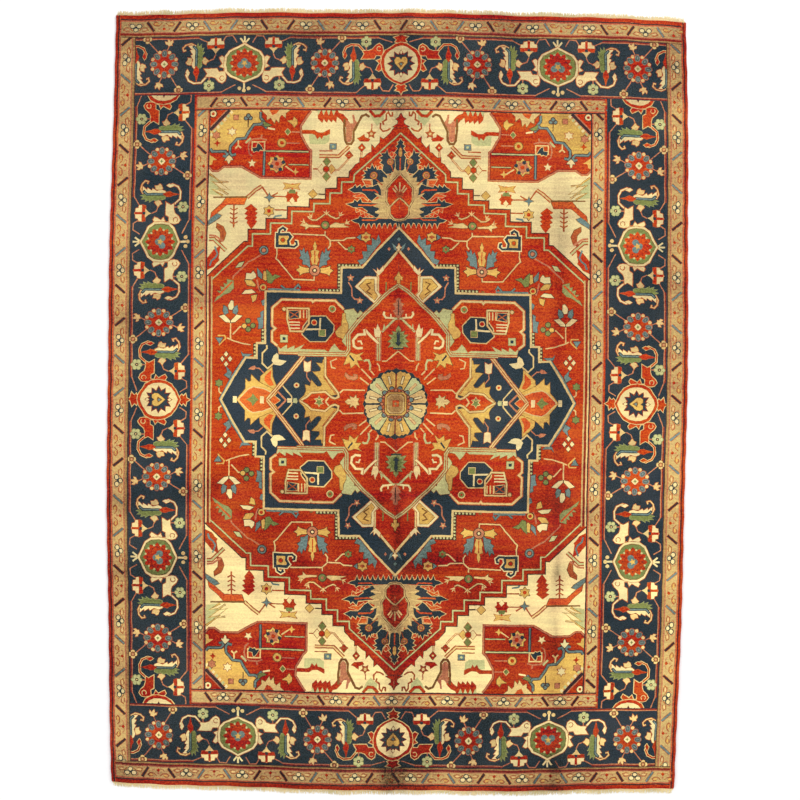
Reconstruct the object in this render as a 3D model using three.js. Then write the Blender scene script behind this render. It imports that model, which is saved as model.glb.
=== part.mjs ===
// Hand-knotted wool area rug of the 9 x 12 ft room size: a cotton foundation, wool pile knotted on it zone
// by zone, overcast selvedges down both sides, and a woven web with a short cut fringe at both ends.
// Millimetres, +Z up. The origin is on the floor under the middle of the rug, and the warps run along Y.
import * as THREE from 'three';

// Plan of the woven body. The four corners are the nominal size, and each side bows out between them.
const HALF_WIDTH = 1336;
const HALF_LENGTH = 1805;
const SIDE_BOW = 0.0225;
const END_BOW = 0.0145;

// Heights.
const FOUNDATION_THICKNESS = 2.5;
const PILE_TOP = 11.5;
const WEB_THICKNESS = 2.2;

// Widths counted in from the edge.
const SELVEDGE_WIDTH = 14;
const WEB_DEPTH = 7;
const FRINGE_HEADING = 3;
const FRINGE_LENGTH = 18;
const STRAND_PITCH = 29;
const STRAND_ROOT = 24;
const STRAND_TIP = 9;

// Half widths and half lengths of the rectangles that part the border bands.
const MAIN_BORDER = { x: 1233, y: 1704 };
const INNER_GUARD = { x: 970, y: 1426 };
const FIELD = { x: 882, y: 1352 };

// Pieces that touch keep this gap, and long edges are cut to this length so that they follow the bow.
const GAP = 0.3;
const EDGE_STEP = 250;

// Outlines of the field's zones in one quarter, from the long axis round to the cross axis.
const GROUND_QUARTER = [
  [0, 1275], [233, 1068], [233, 1040], [288, 1040], [288, 988], [340, 988], [340, 938], [413, 938],
  [413, 900], [513, 900], [513, 843], [610, 843], [610, 792], [692, 792], [692, 735], [712, 735],
  [FIELD.x, 575],
];
const MEDALLION_QUARTER = [
  [0, 804], [103, 697], [165, 622], [260, 622], [262, 504], [610, 504], [612, 263], [650, 263],
  [650, 193], [703, 193], [756, 105], [814, 0],
];
const PENDANT_HALF = [
  [0, 1245], [45, 1180], [95, 1150], [165, 1085], [180, 1010], [225, 985], [225, 915], [215, 835],
  [40, 830],
];
const CORNER_QUARTER = [
  [FIELD.x, FIELD.y], [420, FIELD.y], [470, 1285], [465, 1235], [418, 1165], [418, 1040], [640, 1040],
  [700, 1073], [730, 1091], [815, 1091], [840, 1070], [865, 1070], [FIELD.x, 1085],
];

// Yarn and cotton colours, and how each surface takes light.
const FINISH = {
  madder: { color: 0xb23a22, roughness: 0.95 },
  navy: { color: 0x27384c, roughness: 0.95 },
  ivory: { color: 0xe8d3a0, roughness: 0.95 },
  camel: { color: 0xc9aa76, roughness: 0.95 },
  overcast: { color: 0xc24a28, roughness: 0.9 },
  cotton: { color: 0xe6d9b4, roughness: 0.9 },
};

const rug = new THREE.Group();

/** Moves a point of the nominal plan out to where the bowed edges carry it. */
function bow([x, y]) {
  const alongSide = 1 - (y / HALF_LENGTH) ** 2;
  const alongEnd = 1 - (x / HALF_WIDTH) ** 2;
  return [x * (1 + SIDE_BOW * alongSide), y * (1 + END_BOW * alongEnd)];
}

/** Moves every edge of a counter-clockwise outline inwards by a distance, with mitred corners. */
function inset(outline, distance) {
  const count = outline.length;
  return outline.map((point, i) => {
    const before = outline[(i + count - 1) % count];
    const after = outline[(i + 1) % count];
    const arriving = new THREE.Vector2(point[0] - before[0], point[1] - before[1]).normalize();
    const leaving = new THREE.Vector2(after[0] - point[0], after[1] - point[1]).normalize();
    const inwards = new THREE.Vector2(-arriving.y - leaving.y, arriving.x + leaving.x);
    const scale = distance / (1 + arriving.dot(leaving));
    return [point[0] + inwards.x * scale, point[1] + inwards.y * scale];
  });
}

/** Cuts the long edges of an outline into short ones. */
function subdivide(outline) {
  return outline.flatMap((start, i) => {
    const end = outline[(i + 1) % outline.length];
    const length = Math.hypot(end[0] - start[0], end[1] - start[1]);
    const pieces = Math.max(1, Math.ceil(length / EDGE_STEP));
    return Array.from({ length: pieces }, (_, k) => [
      start[0] + (end[0] - start[0]) * k / pieces,
      start[1] + (end[1] - start[1]) * k / pieces,
    ]);
  });
}

/** Mirrors an outline in the long axis, the cross axis or both, and keeps it counter-clockwise. */
function mirror(outline, signX, signY) {
  const turned = outline.map(([x, y]) => [x * signX, y * signY]);
  return signX * signY < 0 ? turned.reverse() : turned;
}

/** The whole outline of a zone that is the same in all four quarters. */
function fourfold(quarter) {
  const half = [...quarter.slice().reverse(), ...quarter.map(([x, y]) => [-x, y])];
  const whole = [...half, ...half.map(([x, y]) => [-x, -y])];
  return whole.filter((point, i) => {
    const next = whole[(i + 1) % whole.length];
    return Math.hypot(point[0] - next[0], point[1] - next[1]) > GAP;
  });
}

/** A rectangle between two opposite corners. */
function rectangle(x0, y0, x1, y1) {
  return [[x0, y0], [x1, y0], [x1, y1], [x0, y1]];
}

/** Adds a named mesh with its own material. */
function add(name, geometry, finish) {
  const material = new THREE.MeshStandardMaterial({ ...FINISH[finish], metalness: 0 });
  const mesh = new THREE.Mesh(geometry, material);
  mesh.name = name;
  rug.add(mesh);
}

/** Adds a flat slab between two heights. Neighbours' outlines may touch: each is drawn in by half a gap. */
function addSlab(name, outline, bottom, top, finish, holes = []) {
  const path = (points) => subdivide(points).map((point) => new THREE.Vector2(...bow(point)));
  const shape = new THREE.Shape(path(inset(outline, GAP / 2)));
  shape.holes = holes.map((hole) => new THREE.Path(path(inset(hole, -GAP / 2))));
  const geometry = new THREE.ExtrudeGeometry(shape, { depth: top - bottom, steps: 1, bevelEnabled: false });
  add(name, geometry.translate(0, 0, bottom), finish);
}

/** Adds a slab of knotted pile that stands on the foundation. */
function addPile(name, outline, finish, holes) {
  addSlab(name, outline, FOUNDATION_THICKNESS + GAP, PILE_TOP, finish, holes);
}

/** Adds the four bands of a rectangular border. The end bands run the full width. */
function addBorder(name, outer, inner, finish) {
  addPile(`${name}_top`, rectangle(-outer.x, inner.y, outer.x, outer.y), finish);
  addPile(`${name}_bottom`, rectangle(-outer.x, -outer.y, outer.x, -inner.y), finish);
  addPile(`${name}_left`, rectangle(-outer.x, -inner.y, -inner.x, inner.y), finish);
  addPile(`${name}_right`, rectangle(inner.x, -inner.y, outer.x, inner.y), finish);
}

/** A rod along a bowed side, with an oval section, and with an oval way through it when bore is given. */
function selvedgeRod(side, radius, bore) {
  const SIDES = 12;
  const STEPS = 24;
  const centre = { x: side * (HALF_WIDTH - SELVEDGE_WIDTH / 2), z: PILE_TOP / 2 - GAP };
  const halfLength = HALF_LENGTH - GAP;
  const ring = (step, r) => Array.from({ length: SIDES }, (_, k) => {
    const turn = 2 * Math.PI * k / SIDES;
    const [x, y] = bow([centre.x, halfLength * (2 * step / STEPS - 1)]);
    return [x + r.x * Math.cos(turn), y, centre.z + r.z * Math.sin(turn)];
  });
  const triangles = [];
  const band = (a, b) => a.forEach((_, k) => {
    const next = (k + 1) % SIDES;
    triangles.push(a[k], b[k], b[next], a[k], b[next], a[next]);
  });
  for (let step = 0; step < STEPS; step += 1) {
    band(ring(step, radius), ring(step + 1, radius));
    if (bore) band(ring(step + 1, bore), ring(step, bore));
  }
  const [first, last] = [ring(0, radius), ring(STEPS, radius)];
  if (bore) {
    band(ring(0, bore), first);
    band(last, ring(STEPS, bore));
  } else {
    for (let k = 1; k < SIDES - 1; k += 1) {
      triangles.push(first[0], first[k], first[k + 1], last[0], last[k + 1], last[k]);
    }
  }
  const geometry = new THREE.BufferGeometry();
  geometry.setAttribute('position', new THREE.Float32BufferAttribute(triangles.flat(), 3));
  geometry.computeVertexNormals();
  return geometry;
}

/** Adds the warp bundle at one side and the wool yarn overcast round it. */
function addSelvedge(name, side) {
  const wall = 2.4;
  const outer = { x: SELVEDGE_WIDTH / 2 - GAP / 2, z: PILE_TOP / 2 - GAP };
  const bore = { x: outer.x - wall, z: outer.z - wall };
  const core = { x: bore.x - GAP, z: bore.z - GAP };
  add(`selvedge_core_${name}`, selvedgeRod(side, core), 'cotton');
  add(`selvedge_overcast_${name}`, selvedgeRod(side, outer, bore), 'overcast');
}

/** The outline of one end's fringe: a heading along the web, and tapering strands cut from it. */
function fringeOutline(end, halfWidth) {
  const heading = HALF_LENGTH + WEB_DEPTH;
  const root = heading + FRINGE_HEADING;
  const tip = heading + FRINGE_LENGTH;
  const count = Math.floor(2 * halfWidth / STRAND_PITCH);
  const outline = [[-halfWidth, heading], [halfWidth, heading]];
  for (let k = count - 1; k >= 0; k -= 1) {
    const middle = (k - (count - 1) / 2) * STRAND_PITCH;
    outline.push([middle + STRAND_ROOT / 2, root], [middle + STRAND_TIP / 2, tip]);
    outline.push([middle - STRAND_TIP / 2, tip], [middle - STRAND_ROOT / 2, root]);
  }
  return mirror(outline, 1, end);
}

/** Adds the flat woven web and the cut fringe at one end. */
function addEnd(name, end) {
  const halfWidth = HALF_WIDTH - SELVEDGE_WIDTH;
  const web = rectangle(-halfWidth, HALF_LENGTH, halfWidth, HALF_LENGTH + WEB_DEPTH);
  addSlab(`kilim_web_${name}`, mirror(web, 1, end), 0, WEB_THICKNESS, 'cotton');
  addSlab(`fringe_${name}`, fringeOutline(end, halfWidth), 0, WEB_THICKNESS, 'cotton');
}

/** Outline of the ivory zone between the red ground's stepped head and one end of the field. */
function endZoneOutline() {
  const rightSide = [[FIELD.x, 575], ...CORNER_QUARTER.slice(1).reverse()];
  const leftSide = rightSide.map(([x, y]) => [-x, y]).reverse();
  const steppedHead = GROUND_QUARTER.slice(0, -1);
  const fromLeft = steppedHead.map(([x, y]) => [-x, y]).reverse();
  return [...rightSide, ...leftSide, ...fromLeft, ...steppedHead.slice(1)];
}

/** Adds the red ground, the medallion, its two pendants, and the ivory ends with their corner panels. */
function addField() {
  const medallion = fourfold(MEDALLION_QUARTER);
  const pendant = [...PENDANT_HALF.slice().reverse(), ...PENDANT_HALF.slice(1).map(([x, y]) => [-x, y])];
  const pendants = { top: pendant, bottom: mirror(pendant, 1, -1) };
  addPile('pile_ground', fourfold(GROUND_QUARTER), 'madder', [medallion, pendants.top, pendants.bottom]);
  addPile('pile_medallion', medallion, 'navy');
  for (const [end, sign] of [['top', 1], ['bottom', -1]]) {
    addPile(`pile_pendant_${end}`, pendants[end], 'navy');
    addPile(`pile_ivory_${end}`, mirror(endZoneOutline(), 1, sign), 'ivory');
    addPile(`pile_corner_${end}_left`, mirror(CORNER_QUARTER, -1, sign), 'madder');
    addPile(`pile_corner_${end}_right`, mirror(CORNER_QUARTER, 1, sign), 'madder');
  }
}

const BODY = { x: HALF_WIDTH - SELVEDGE_WIDTH, y: HALF_LENGTH };
addSlab('foundation', rectangle(-BODY.x, -BODY.y, BODY.x, BODY.y), 0, FOUNDATION_THICKNESS, 'cotton');
addBorder('pile_outer_guard', BODY, MAIN_BORDER, 'camel');
addBorder('pile_main_border', MAIN_BORDER, INNER_GUARD, 'navy');
addBorder('pile_inner_guard', INNER_GUARD, FIELD, 'camel');
addField();
addSelvedge('left', -1);
addSelvedge('right', 1);
addEnd('top', 1);
addEnd('bottom', -1);

export default rug;
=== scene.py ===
"""A hand-knotted wool room rug, laid flat: a stepped star medallion on a madder ground, ivory ends with
corner panels, a navy flower border between two camel guard bands, overcast sides and a short cut fringe.

The weaver's drawing is laid out first, in centimetres, as areas of single yarns that lie over each other.
Each zone of the pile is then cut along those areas, so that every area is a face of its own yarn.
"""
import logging
import math
import random
from dataclasses import dataclass, field
from enum import Enum
from typing import Callable, Iterable, Sequence

import bmesh
import bpy
import numpy as np
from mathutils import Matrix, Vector, geometry


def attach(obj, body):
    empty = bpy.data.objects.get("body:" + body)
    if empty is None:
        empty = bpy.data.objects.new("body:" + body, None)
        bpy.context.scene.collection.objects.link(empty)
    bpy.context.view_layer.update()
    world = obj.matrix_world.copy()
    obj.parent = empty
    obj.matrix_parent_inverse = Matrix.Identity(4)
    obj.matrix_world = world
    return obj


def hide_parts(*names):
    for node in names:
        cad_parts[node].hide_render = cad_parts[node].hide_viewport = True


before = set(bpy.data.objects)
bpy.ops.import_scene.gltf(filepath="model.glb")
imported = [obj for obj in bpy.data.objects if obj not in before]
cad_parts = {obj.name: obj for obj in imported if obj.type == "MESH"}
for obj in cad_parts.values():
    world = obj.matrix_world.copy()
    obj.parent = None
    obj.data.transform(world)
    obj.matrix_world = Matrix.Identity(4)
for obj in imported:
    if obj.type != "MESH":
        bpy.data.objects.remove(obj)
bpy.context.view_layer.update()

LOG = logging.getLogger("rug")

Point = tuple[float, float]
Points = Sequence[Point]
CM = 0.01

# The nominal plan in centimetres: half sizes at the corners, and how far the edges bow out between them.
HALF_WIDTH = 133.6
HALF_LENGTH = 180.5
SIDE_BOW = 0.0225
END_BOW = 0.0145
END_SPREAD = 0.006

# From the middle to the inside and the middle of a selvedge, and to the end of the flat-woven strips.
WEB_HALF_WIDTH = 132.2
SELVEDGE_MIDDLE = 132.9
KILIM_HALF_WIDTH = 133.2
FRINGE_HALF_WIDTH = 132.6

# How an outline is woven: the length of it that keeps its line, how far it strays, and the finest gap.
KNOT_STEP = 1.3
KNOT_STRAY = 0.085
RING_STEP = 2.5
FINEST_GAP = 0.004

# Where one band of the border gives way to the next, as (half width, half length).
PILE_EDGE = (WEB_HALF_WIDTH, HALF_LENGTH)
MAIN_BORDER = (123.3, 170.4)
INNER_GUARD = (97.0, 142.6)
FIELD = (88.2, 135.2)


class Yarn(Enum):
    """Every dye lot in the rug, as its colour on the 0 to 255 screen scale."""

    MADDER = (186, 50, 16)
    DEEP_MADDER = (142, 30, 16)
    ORANGE = (206, 82, 36)
    RUST = (174, 82, 42)
    ROSE = (190, 114, 80)
    NAVY = (31, 46, 56)
    STEEL = (108, 127, 119)
    OLIVE = (122, 128, 68)
    SAGE = (150, 150, 92)
    WILLOW = (186, 180, 122)
    GOLD = (210, 162, 82)
    STRAW = (216, 178, 116)
    TAN = (172, 130, 78)
    CAMEL = (196, 160, 102)
    IVORY = (228, 200, 142)
    BRONZE = (130, 84, 40)
    BROWN = (78, 40, 26)
    AUBERGINE = (58, 32, 36)


(MADDER, DEEP_MADDER, ORANGE, RUST, ROSE, NAVY, STEEL, OLIVE, SAGE, WILLOW, GOLD, STRAW, TAN, CAMEL, IVORY,
    BRONZE, BROWN, AUBERGINE) = Yarn


@dataclass
class Patch:
    """An area of one yarn. A later patch lies over an earlier one."""

    yarn: Yarn
    outline: np.ndarray


def ribbon(points: Points, width: float, closed: bool = False) -> np.ndarray:
    """Give the outline of a line that has a width.

    Args:
        points: the middle of the line.
        width: its width.
        closed: whether it comes back to its first point.

    Returns:
        The outline, with mitred corners.
    """
    path = np.asarray(points, float)
    step = np.roll(path, -1, axis=0) - path
    step /= np.maximum(np.linalg.norm(step, axis=1, keepdims=True), 1e-9)
    before = np.roll(step, 1, axis=0)
    if not closed:
        before[0] = step[0]
        step[-1] = before[-1]
    lean = np.stack([-before[:, 1] - step[:, 1], before[:, 0] + step[:, 0]], axis=1)
    reach = width / 2 / np.maximum(1 + (before * step).sum(axis=1), 0.35)
    side = lean * reach[:, None]
    if closed:
        outer = np.concatenate([path + side, path[:1] + side[:1]])
        inner = np.concatenate([path[:1] - side[:1], (path - side)[::-1]])
        return np.concatenate([outer, inner])
    return np.concatenate([path + side, (path - side)[::-1]])


def mirrored(half: Points) -> list[Point]:
    """Complete an outline given for x >= 0, from its top point to its bottom one."""
    return [*half, *((-x, y) for x, y in reversed(half) if abs(x) > 1e-6)]


def star(points: int, outer: float, inner: float, stretch: float = 1.0) -> list[Point]:
    """Give a star or a toothed disc about the origin, taller than it is wide by a factor.

    Args:
        points: how many points it has.
        outer, inner: how far its points and notches lie out.
        stretch: how much taller than wide it is.

    Returns:
        Its outline.
    """
    turns = (math.pi * k / points for k in range(2 * points))
    radii = (outer if k % 2 == 0 else inner for k in range(2 * points))
    return [(r * math.sin(t), stretch * r * math.cos(t)) for t, r in zip(turns, radii)]


def oval(x: float, y: float, rx: float, ry: float, sides: int = 12) -> list[Point]:
    """Give an oval."""
    turns = (2 * math.pi * k / sides for k in range(sides))
    return [(x + rx * math.cos(t), y + ry * math.sin(t)) for t in turns]


def diamond(x: float, y: float, rx: float, ry: float) -> list[Point]:
    """Give a diamond."""
    return [(x, y + ry), (x + rx, y), (x, y - ry), (x - rx, y)]


def box(x0: float, y0: float, x1: float, y1: float) -> list[Point]:
    """Give a rectangle between two opposite corners."""
    return [(x0, y0), (x1, y0), (x1, y1), (x0, y1)]


class Cartoon:
    """The weaver's drawing, or a part of it with an origin of its own. All lengths are in centimetres."""

    def __init__(self, patches: list[Patch] | None = None, place: np.ndarray | None = None) -> None:
        """Start an empty drawing, or go on with one in another place."""
        self.patches = [] if patches is None else patches
        self.place = np.eye(3) if place is None else place

    def at(self, x: float = 0, y: float = 0, turn: float = 0, flip: Point = (1, 1)) -> "Cartoon":
        """Give the same drawing with a new origin.

        Args:
            x, y: the new origin.
            turn: degrees that the new axes are turned to the left.
            flip: -1 for each new axis that is mirrored.

        Returns:
            A drawing that adds to this one.
        """
        c, s = math.cos(math.radians(turn)), math.sin(math.radians(turn))
        step = np.array([[c * flip[0], -s * flip[1], x], [s * flip[0], c * flip[1], y], [0, 0, 1]])
        return Cartoon(self.patches, self.place @ step)

    def quarters(self) -> list["Cartoon"]:
        """Give the four quarters, each with its axes pointing out to its own corner."""
        return [self.at(flip=(sx, sy)) for sy in (1, -1) for sx in (-1, 1)]

    def halves(self) -> list["Cartoon"]:
        """Give the left half and the right half, each with its x axis pointing away from the middle."""
        return [self.at(flip=(side, 1)) for side in (-1, 1)]

    def fill(self, yarn: Yarn, points: Points, edge: Yarn | None = None, width: float = 0.5) -> None:
        """Lay an area of one yarn, in an outline of another where one is named.

        Args:
            yarn: the yarn of the area.
            points: its outline.
            edge: the yarn of the line round it.
            width: the width of that line, half of which shows.
        """
        if edge is not None:
            halved = any(abs(points[0][k]) < 1e-6 and abs(points[-1][k]) < 1e-6 for k in (0, 1))
            self.line(edge, width, points, closed=not halved)
        at = np.c_[np.asarray(points, float), np.ones(len(points))] @ self.place.T
        self.patches.append(Patch(yarn, at[:, :2]))

    def line(self, yarn: Yarn, width: float, points: Points, closed: bool = False) -> None:
        """Lay a line of one yarn."""
        self.fill(yarn, ribbon(points, width, closed))

    def lines(self, points: Points, *layers: tuple[Yarn, float], closed: bool = False) -> None:
        """Lay narrower and narrower lines over each other, which leaves each as a stripe."""
        for yarn, width in layers:
            self.line(yarn, width, points, closed)

    def disc(self, yarn: Yarn, x: float, y: float, radius: float, edge: Yarn | None = None) -> None:
        """Lay a round spot, in an outline of another yarn where one is named.

        Args:
            yarn: the yarn of the spot.
            x, y: its middle.
            radius: its radius.
            edge: the yarn of the line round it.
        """
        if edge is not None:
            self.fill(edge, oval(x, y, radius + 0.4, radius + 0.4))
        self.fill(yarn, oval(x, y, radius, radius))


@dataclass
class GuardBand:
    """A narrow camel band with trefoils and slanting bars, as one straight run along the local x axis."""

    half_length: float
    half_width: float
    pitch: float
    first_trefoil: float
    bars_pair_about_dots: bool = True

    def draw(self, c: Cartoon) -> None:
        """Draw the run, with local +y pointing to the wide side of the dotted panels.

        Args:
            c: the drawing to add to.
        """
        length, width = self.half_length, self.half_width
        c.fill(CAMEL, box(-length, -width, length, width))
        for side in (-1, 1):
            c.line(ROSE, 0.5, [(-length, side * width), (length, side * width)])
        panels = range(-math.ceil(length / self.pitch) - 1, math.ceil(length / self.pitch) + 2)
        for panel in panels:
            trefoil = self.first_trefoil + panel * self.pitch
            if abs(trefoil) < length - 2:
                self.draw_trefoil(c.at(trefoil, 0))
            dot = trefoil + self.pitch / 2
            if abs(dot) < length - 2:
                self.draw_dot(c.at(dot, 0))
            for side in (-1, 1):
                pair = panel if self.bars_pair_about_dots or side < 0 else panel + 1
                self.draw_bar(c.at(dot, 0, flip=(side, 1)), dark=pair % 2 == 1, at=dot * side)

    def draw_trefoil(self, c: Cartoon) -> None:
        """Draw three ivory leaves outlined in navy, between two curls of the vine.

        Args:
            c: the drawing to add to.
        """
        for half in c.halves():
            half.line(RUST, 0.35, [(1.4, -1.8), (3, -0.4), (5, -0.3), (5.9, -1.4), (4.4, -2), (3, -1.8)])
            half.fill(STRAW, oval(4.1, -1.1, 1, 0.45, 8), ROSE, 0.3)
            half.line(ROSE, 0.35, [(2.6, 1.9), (3.6, 1.1), (3, 0.4)])
        leaves = [(-1.6, 0.5, 1.05), (1.6, 0.5, 1.05), (0, -1.2, 0.95)]
        for x, y, r in leaves:
            c.fill(NAVY, oval(x, y, r + 0.4, r + 0.2, 10))
        for x, y, r in leaves:
            c.fill(IVORY, oval(x, y, r, r * 0.82, 8))
        c.fill(NAVY, [(0, 0.5), (0.4, 0), (0, -0.5), (-0.4, 0)])

    def draw_dot(self, c: Cartoon) -> None:
        """Draw a red berry under two curls of the vine.

        Args:
            c: the drawing to add to.
        """
        for half in c.halves():
            half.line(RUST, 0.4, [(0.9, 1.6), (2.2, 0.4), (4, 0.3), (5, 1.2), (4.2, 2), (2.8, 1.8)])
            half.fill(GOLD, oval(3.4, 1.1, 0.9, 0.45, 8), ROSE, 0.3)
            half.line(ROSE, 0.35, [(0.6, -1.6), (2.4, -1.4), (2.8, -0.6)])
        c.disc(ROSE, 0, 0.4, 0.5)
        c.fill(MADDER, [(0, -0.2), (0.9, -1.1), (0, -2), (-0.9, -1.1)])

    def draw_bar(self, c: Cartoon, dark: bool, at: float) -> None:
        """Draw the slanting bar at one side of a dotted panel, where it lies inside the run.

        Args:
            c: the drawing to add to.
            dark: whether the bar is dark or steel blue.
            at: how far along the run its panel lies.
        """
        if abs(at) > self.half_length + 4:
            return
        lean = self.pitch * 0.12
        middle = self.pitch * 0.235
        reach = self.half_width - 0.5
        slant = [(middle - lean / 2, -reach), (middle + lean / 2, reach)]
        c.line(RUST, 1.5, slant)
        c.line(AUBERGINE if dark else STEEL, 0.95, slant)


class Palmette(Enum):
    """The two large flowers of the main border, each with the yarns of the split leaves at its sides."""

    RED = (MADDER, STRAW)
    GREEN = (IVORY, RUST)


@dataclass
class MainBorder:
    """The navy border: palmettes and rosettes in turn on a vine. Local x runs along a band."""

    half_width: float = 15.3
    end_pitch: float = 73.0
    side_pitch: float = 74.0
    small_bay: float = 10.3
    large_bay: float = 21.0

    def draw(self, c: Cartoon) -> None:
        """Draw the two side bands, and the two end bands over their ends.

        Args:
            c: the drawing to add to.
        """
        sides = (MAIN_BORDER[0] + INNER_GUARD[0]) / 2
        ends = (MAIN_BORDER[1] + INNER_GUARD[1]) / 2 + 0.5
        for side in (-1, 1):
            band = c.at(side * sides, 0, turn=-90 * side)
            self.draw_band(band, self.side_pitch, HALF_LENGTH - 20, (12.9, 13.8))
        for end in (-1, 1):
            self.draw_band(c.at(0, end * ends, flip=(1, end)), self.end_pitch, HALF_WIDTH, (12.4, 13.8))

    def draw_band(self, c: Cartoon, pitch: float, half_length: float, edges: Point) -> None:
        """Draw one band from its middle palmette out to both ends, with local +y pointing off the rug.

        Args:
            c: the drawing to add to.
            pitch: from one palmette to the next.
            half_length: half of the band's length.
            edges: how far the outer and the inner stripes lie off the middle.
        """
        c.fill(NAVY, box(-half_length, -self.half_width + 0.9, half_length, self.half_width))
        for place in range(-2, 3):
            kind = Palmette.RED if place % 2 == 0 else Palmette.GREEN
            out = 1 if kind is Palmette.RED else -1
            unit = c.at(place * pitch, 0, flip=(1, out))
            for half in unit.halves():
                self.draw_half_repeat(half, kind, pitch, edges[::out])
            self.draw_palmette(unit, kind)

    def draw_half_repeat(self, c: Cartoon, kind: Palmette, pitch: float, edges: Point) -> None:
        """Draw what lies between a palmette and the middle of the next rosette, on the +x side.

        Args:
            c: the drawing to add to.
            kind: the palmette that it starts from.
            pitch: from one palmette to the next.
            edges: how far the stripes on the +y and the -y side lie off the middle.
        """
        for side, bay, edge in ((1, self.small_bay, edges[0]), (-1, self.large_bay, edges[1])):
            for yarn, width, off in ((DEEP_MADDER, 0.6, 0), (ROSE, 0.45, 0.5)):
                c.line(yarn, width, [(bay, side * (edge - off)), (pitch / 2, side * (edge - off))])
        c.line(ROSE, 0.5, [(self.small_bay, edges[0] - 0.5), (3.9, 10)])
        c.line(ROSE, 0.5, [(self.large_bay, 0.5 - edges[1]), (17, -10)])
        c.line(ROSE, 0.5, [(10.3, -9.8), (8.6, -12.6), (5.6, -12.8), (3.6, -9.6)])
        self.draw_split_leaf(c, *kind.value)
        self.draw_small_flower(c.at(16.3, 10.2))
        c.line(ROSE, 0.5, [(16.3, 7.9), (16.3, 6)])
        self.draw_fan(c.at(13.4, -8.9))
        self.draw_long_leaf(c)
        if kind is Palmette.RED:
            self.draw_rosette(c.at(pitch / 2 - 0.8, 0.3))

    def draw_palmette(self, c: Cartoon, kind: Palmette) -> None:
        """Draw the large flower at the origin, with its split leaves on the +y side.

        Args:
            c: the drawing to add to.
            kind: which palmette it is.
        """
        if kind is Palmette.RED:
            self.draw_red_palmette(c)
        else:
            self.draw_green_palmette(c)

    def draw_red_palmette(self, c: Cartoon) -> None:
        """Draw a red ring round an ivory one, with a toothed navy eye and a gold heart.

        Args:
            c: the drawing to add to.
        """
        top = [(0, 14.3), (0.8, 12.9), (3.3, 12.3), (1.9, 11.1), (2.7, 10.2), (1, 9.4)]
        bottom = [(1, -9.4), (2.4, -10.6), (1.6, -11.4), (2.7, -12.4), (0.8, -12.9), (0, -14.3)]
        ring = [(0, 9.8), (2.6, 9.2), (5.2, 7.4), (7.4, 6.2), (9, 3.4), (9.4, 0.4), (8.8, -3), (7.2, -5.8),
            (4.2, -8), (0, -9.9)]
        band = [(0, 8.4), (2.4, 7.8), (4.8, 6.2), (6.6, 4.8), (7.7, 2.4), (7.9, -0.4), (7.3, -3.2),
            (5.8, -5.6), (3.4, -7.4), (0, -8.8)]
        for part in (top, bottom, ring):
            c.fill(MADDER, mirrored(part), STRAW, 0.7)
        c.fill(IVORY, mirrored(band), RUST, 0.4)
        c.fill(DEEP_MADDER, star(12, 6.6, 4.6))
        c.fill(NAVY, star(12, 6.1, 3.9))
        c.disc(NAVY, 0, 0, 4.2)
        heart = [(0, 1.8), (0.8, 2.9), (2.2, 3), (3, 1.8), (2.8, 0.2), (1.4, -1.4), (0, -3)]
        c.fill(GOLD, mirrored(heart), BRONZE, 0.4)
        c.fill(BRONZE, mirrored([(0, 0.9), (1.5, 0.3), (0, -1.8)]))
        c.disc(STEEL, 0, -0.2, 0.6)
        for y in (5.2, -5):
            c.fill(IVORY, [(0, y + 0.9), (0.8, y), (0, y - 0.9), (-0.8, y)], DEEP_MADDER, 0.4)

    def draw_green_palmette(self, c: Cartoon) -> None:
        """Draw an ivory ring round a green one, with a toothed red flower and a steel blue centre.

        Args:
            c: the drawing to add to.
        """
        ring = [(0, 9.2), (3, 7.9), (6.7, 6.3), (8.8, 4.2), (9.5, 0.8), (9.2, -3), (7.4, -5.7),
            (3.2, -7.7), (0, -9.4)]
        for x, y in ((0, -12.6), (2.1, -11.6), (-2.1, -11.6)):
            c.line(IVORY, 0.8, [(0, -9), (x, y)])
        for x, y in ((0, 12.8), (2.1, 11.8), (-2.1, 11.8)):
            c.disc(STRAW, x, y, 0.9)
        c.line(IVORY, 0.9, [(0, 9), (0, 12)])
        c.fill(IVORY, mirrored(ring), RUST)
        c.fill(OLIVE, mirrored([(x * 0.87, y * 0.87) for x, y in ring]), BRONZE)
        c.fill(MADDER, star(12, 7, 5.6))
        for dot in range(12):
            c.at(turn=30 * dot + 15).disc(WILLOW, 0, 5.8, 0.5)
            c.at(turn=30 * dot).disc(DEEP_MADDER, 0, 4.6, 0.45)
        for x, y in ((-1.7, 0.9), (1.7, 0.9), (0, -0.8)):
            c.disc(STEEL, x, y, 1.6)
        c.fill(GOLD, star(5, 1.6, 0.8))

    def draw_split_leaf(self, c: Cartoon, yarn: Yarn, edge: Yarn) -> None:
        """Draw the curled, split leaf beside a palmette and the stem that leads on from it.

        Args:
            c: the drawing to add to.
            yarn, edge: the yarns of the leaf and of its outline.
        """
        stem = [(16.8, 5.2), (20, 8.8), (23.4, 9), (25.8, 7.8), (27, 5.2), (26.4, 2.8)]
        leaf = [(8.4, 6.4), (8.8, 8.2), (10.2, 9.2), (11.8, 8.4), (13.4, 6.6), (15.2, 6), (17.9, 6),
            (17.2, 4.6), (18.6, 2.3), (12.6, 2.3), (11.8, 3.8), (9.4, 3.8), (9.4, 2.2), (11.4, 1.4),
            (10.1, 0.2), (11, -1.4), (11.7, -2.8), (10.4, -3.5), (9.2, -2.6), (9, 3)]
        c.lines(stem, (edge, 1.2), (yarn, 0.6))
        c.fill(yarn, [(26.2, 6), (27.2, 3.6), (26.4, 2.4), (25.4, 4)], edge, 0.4)
        c.fill(yarn, leaf, edge, 0.7)
        curl = [(10.3 + 1.1 * math.cos(t), 6.9 + 1.1 * math.sin(t)) for t in np.linspace(-2.4, 2.6, 7)]
        c.line(edge, 0.35, curl)

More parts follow.
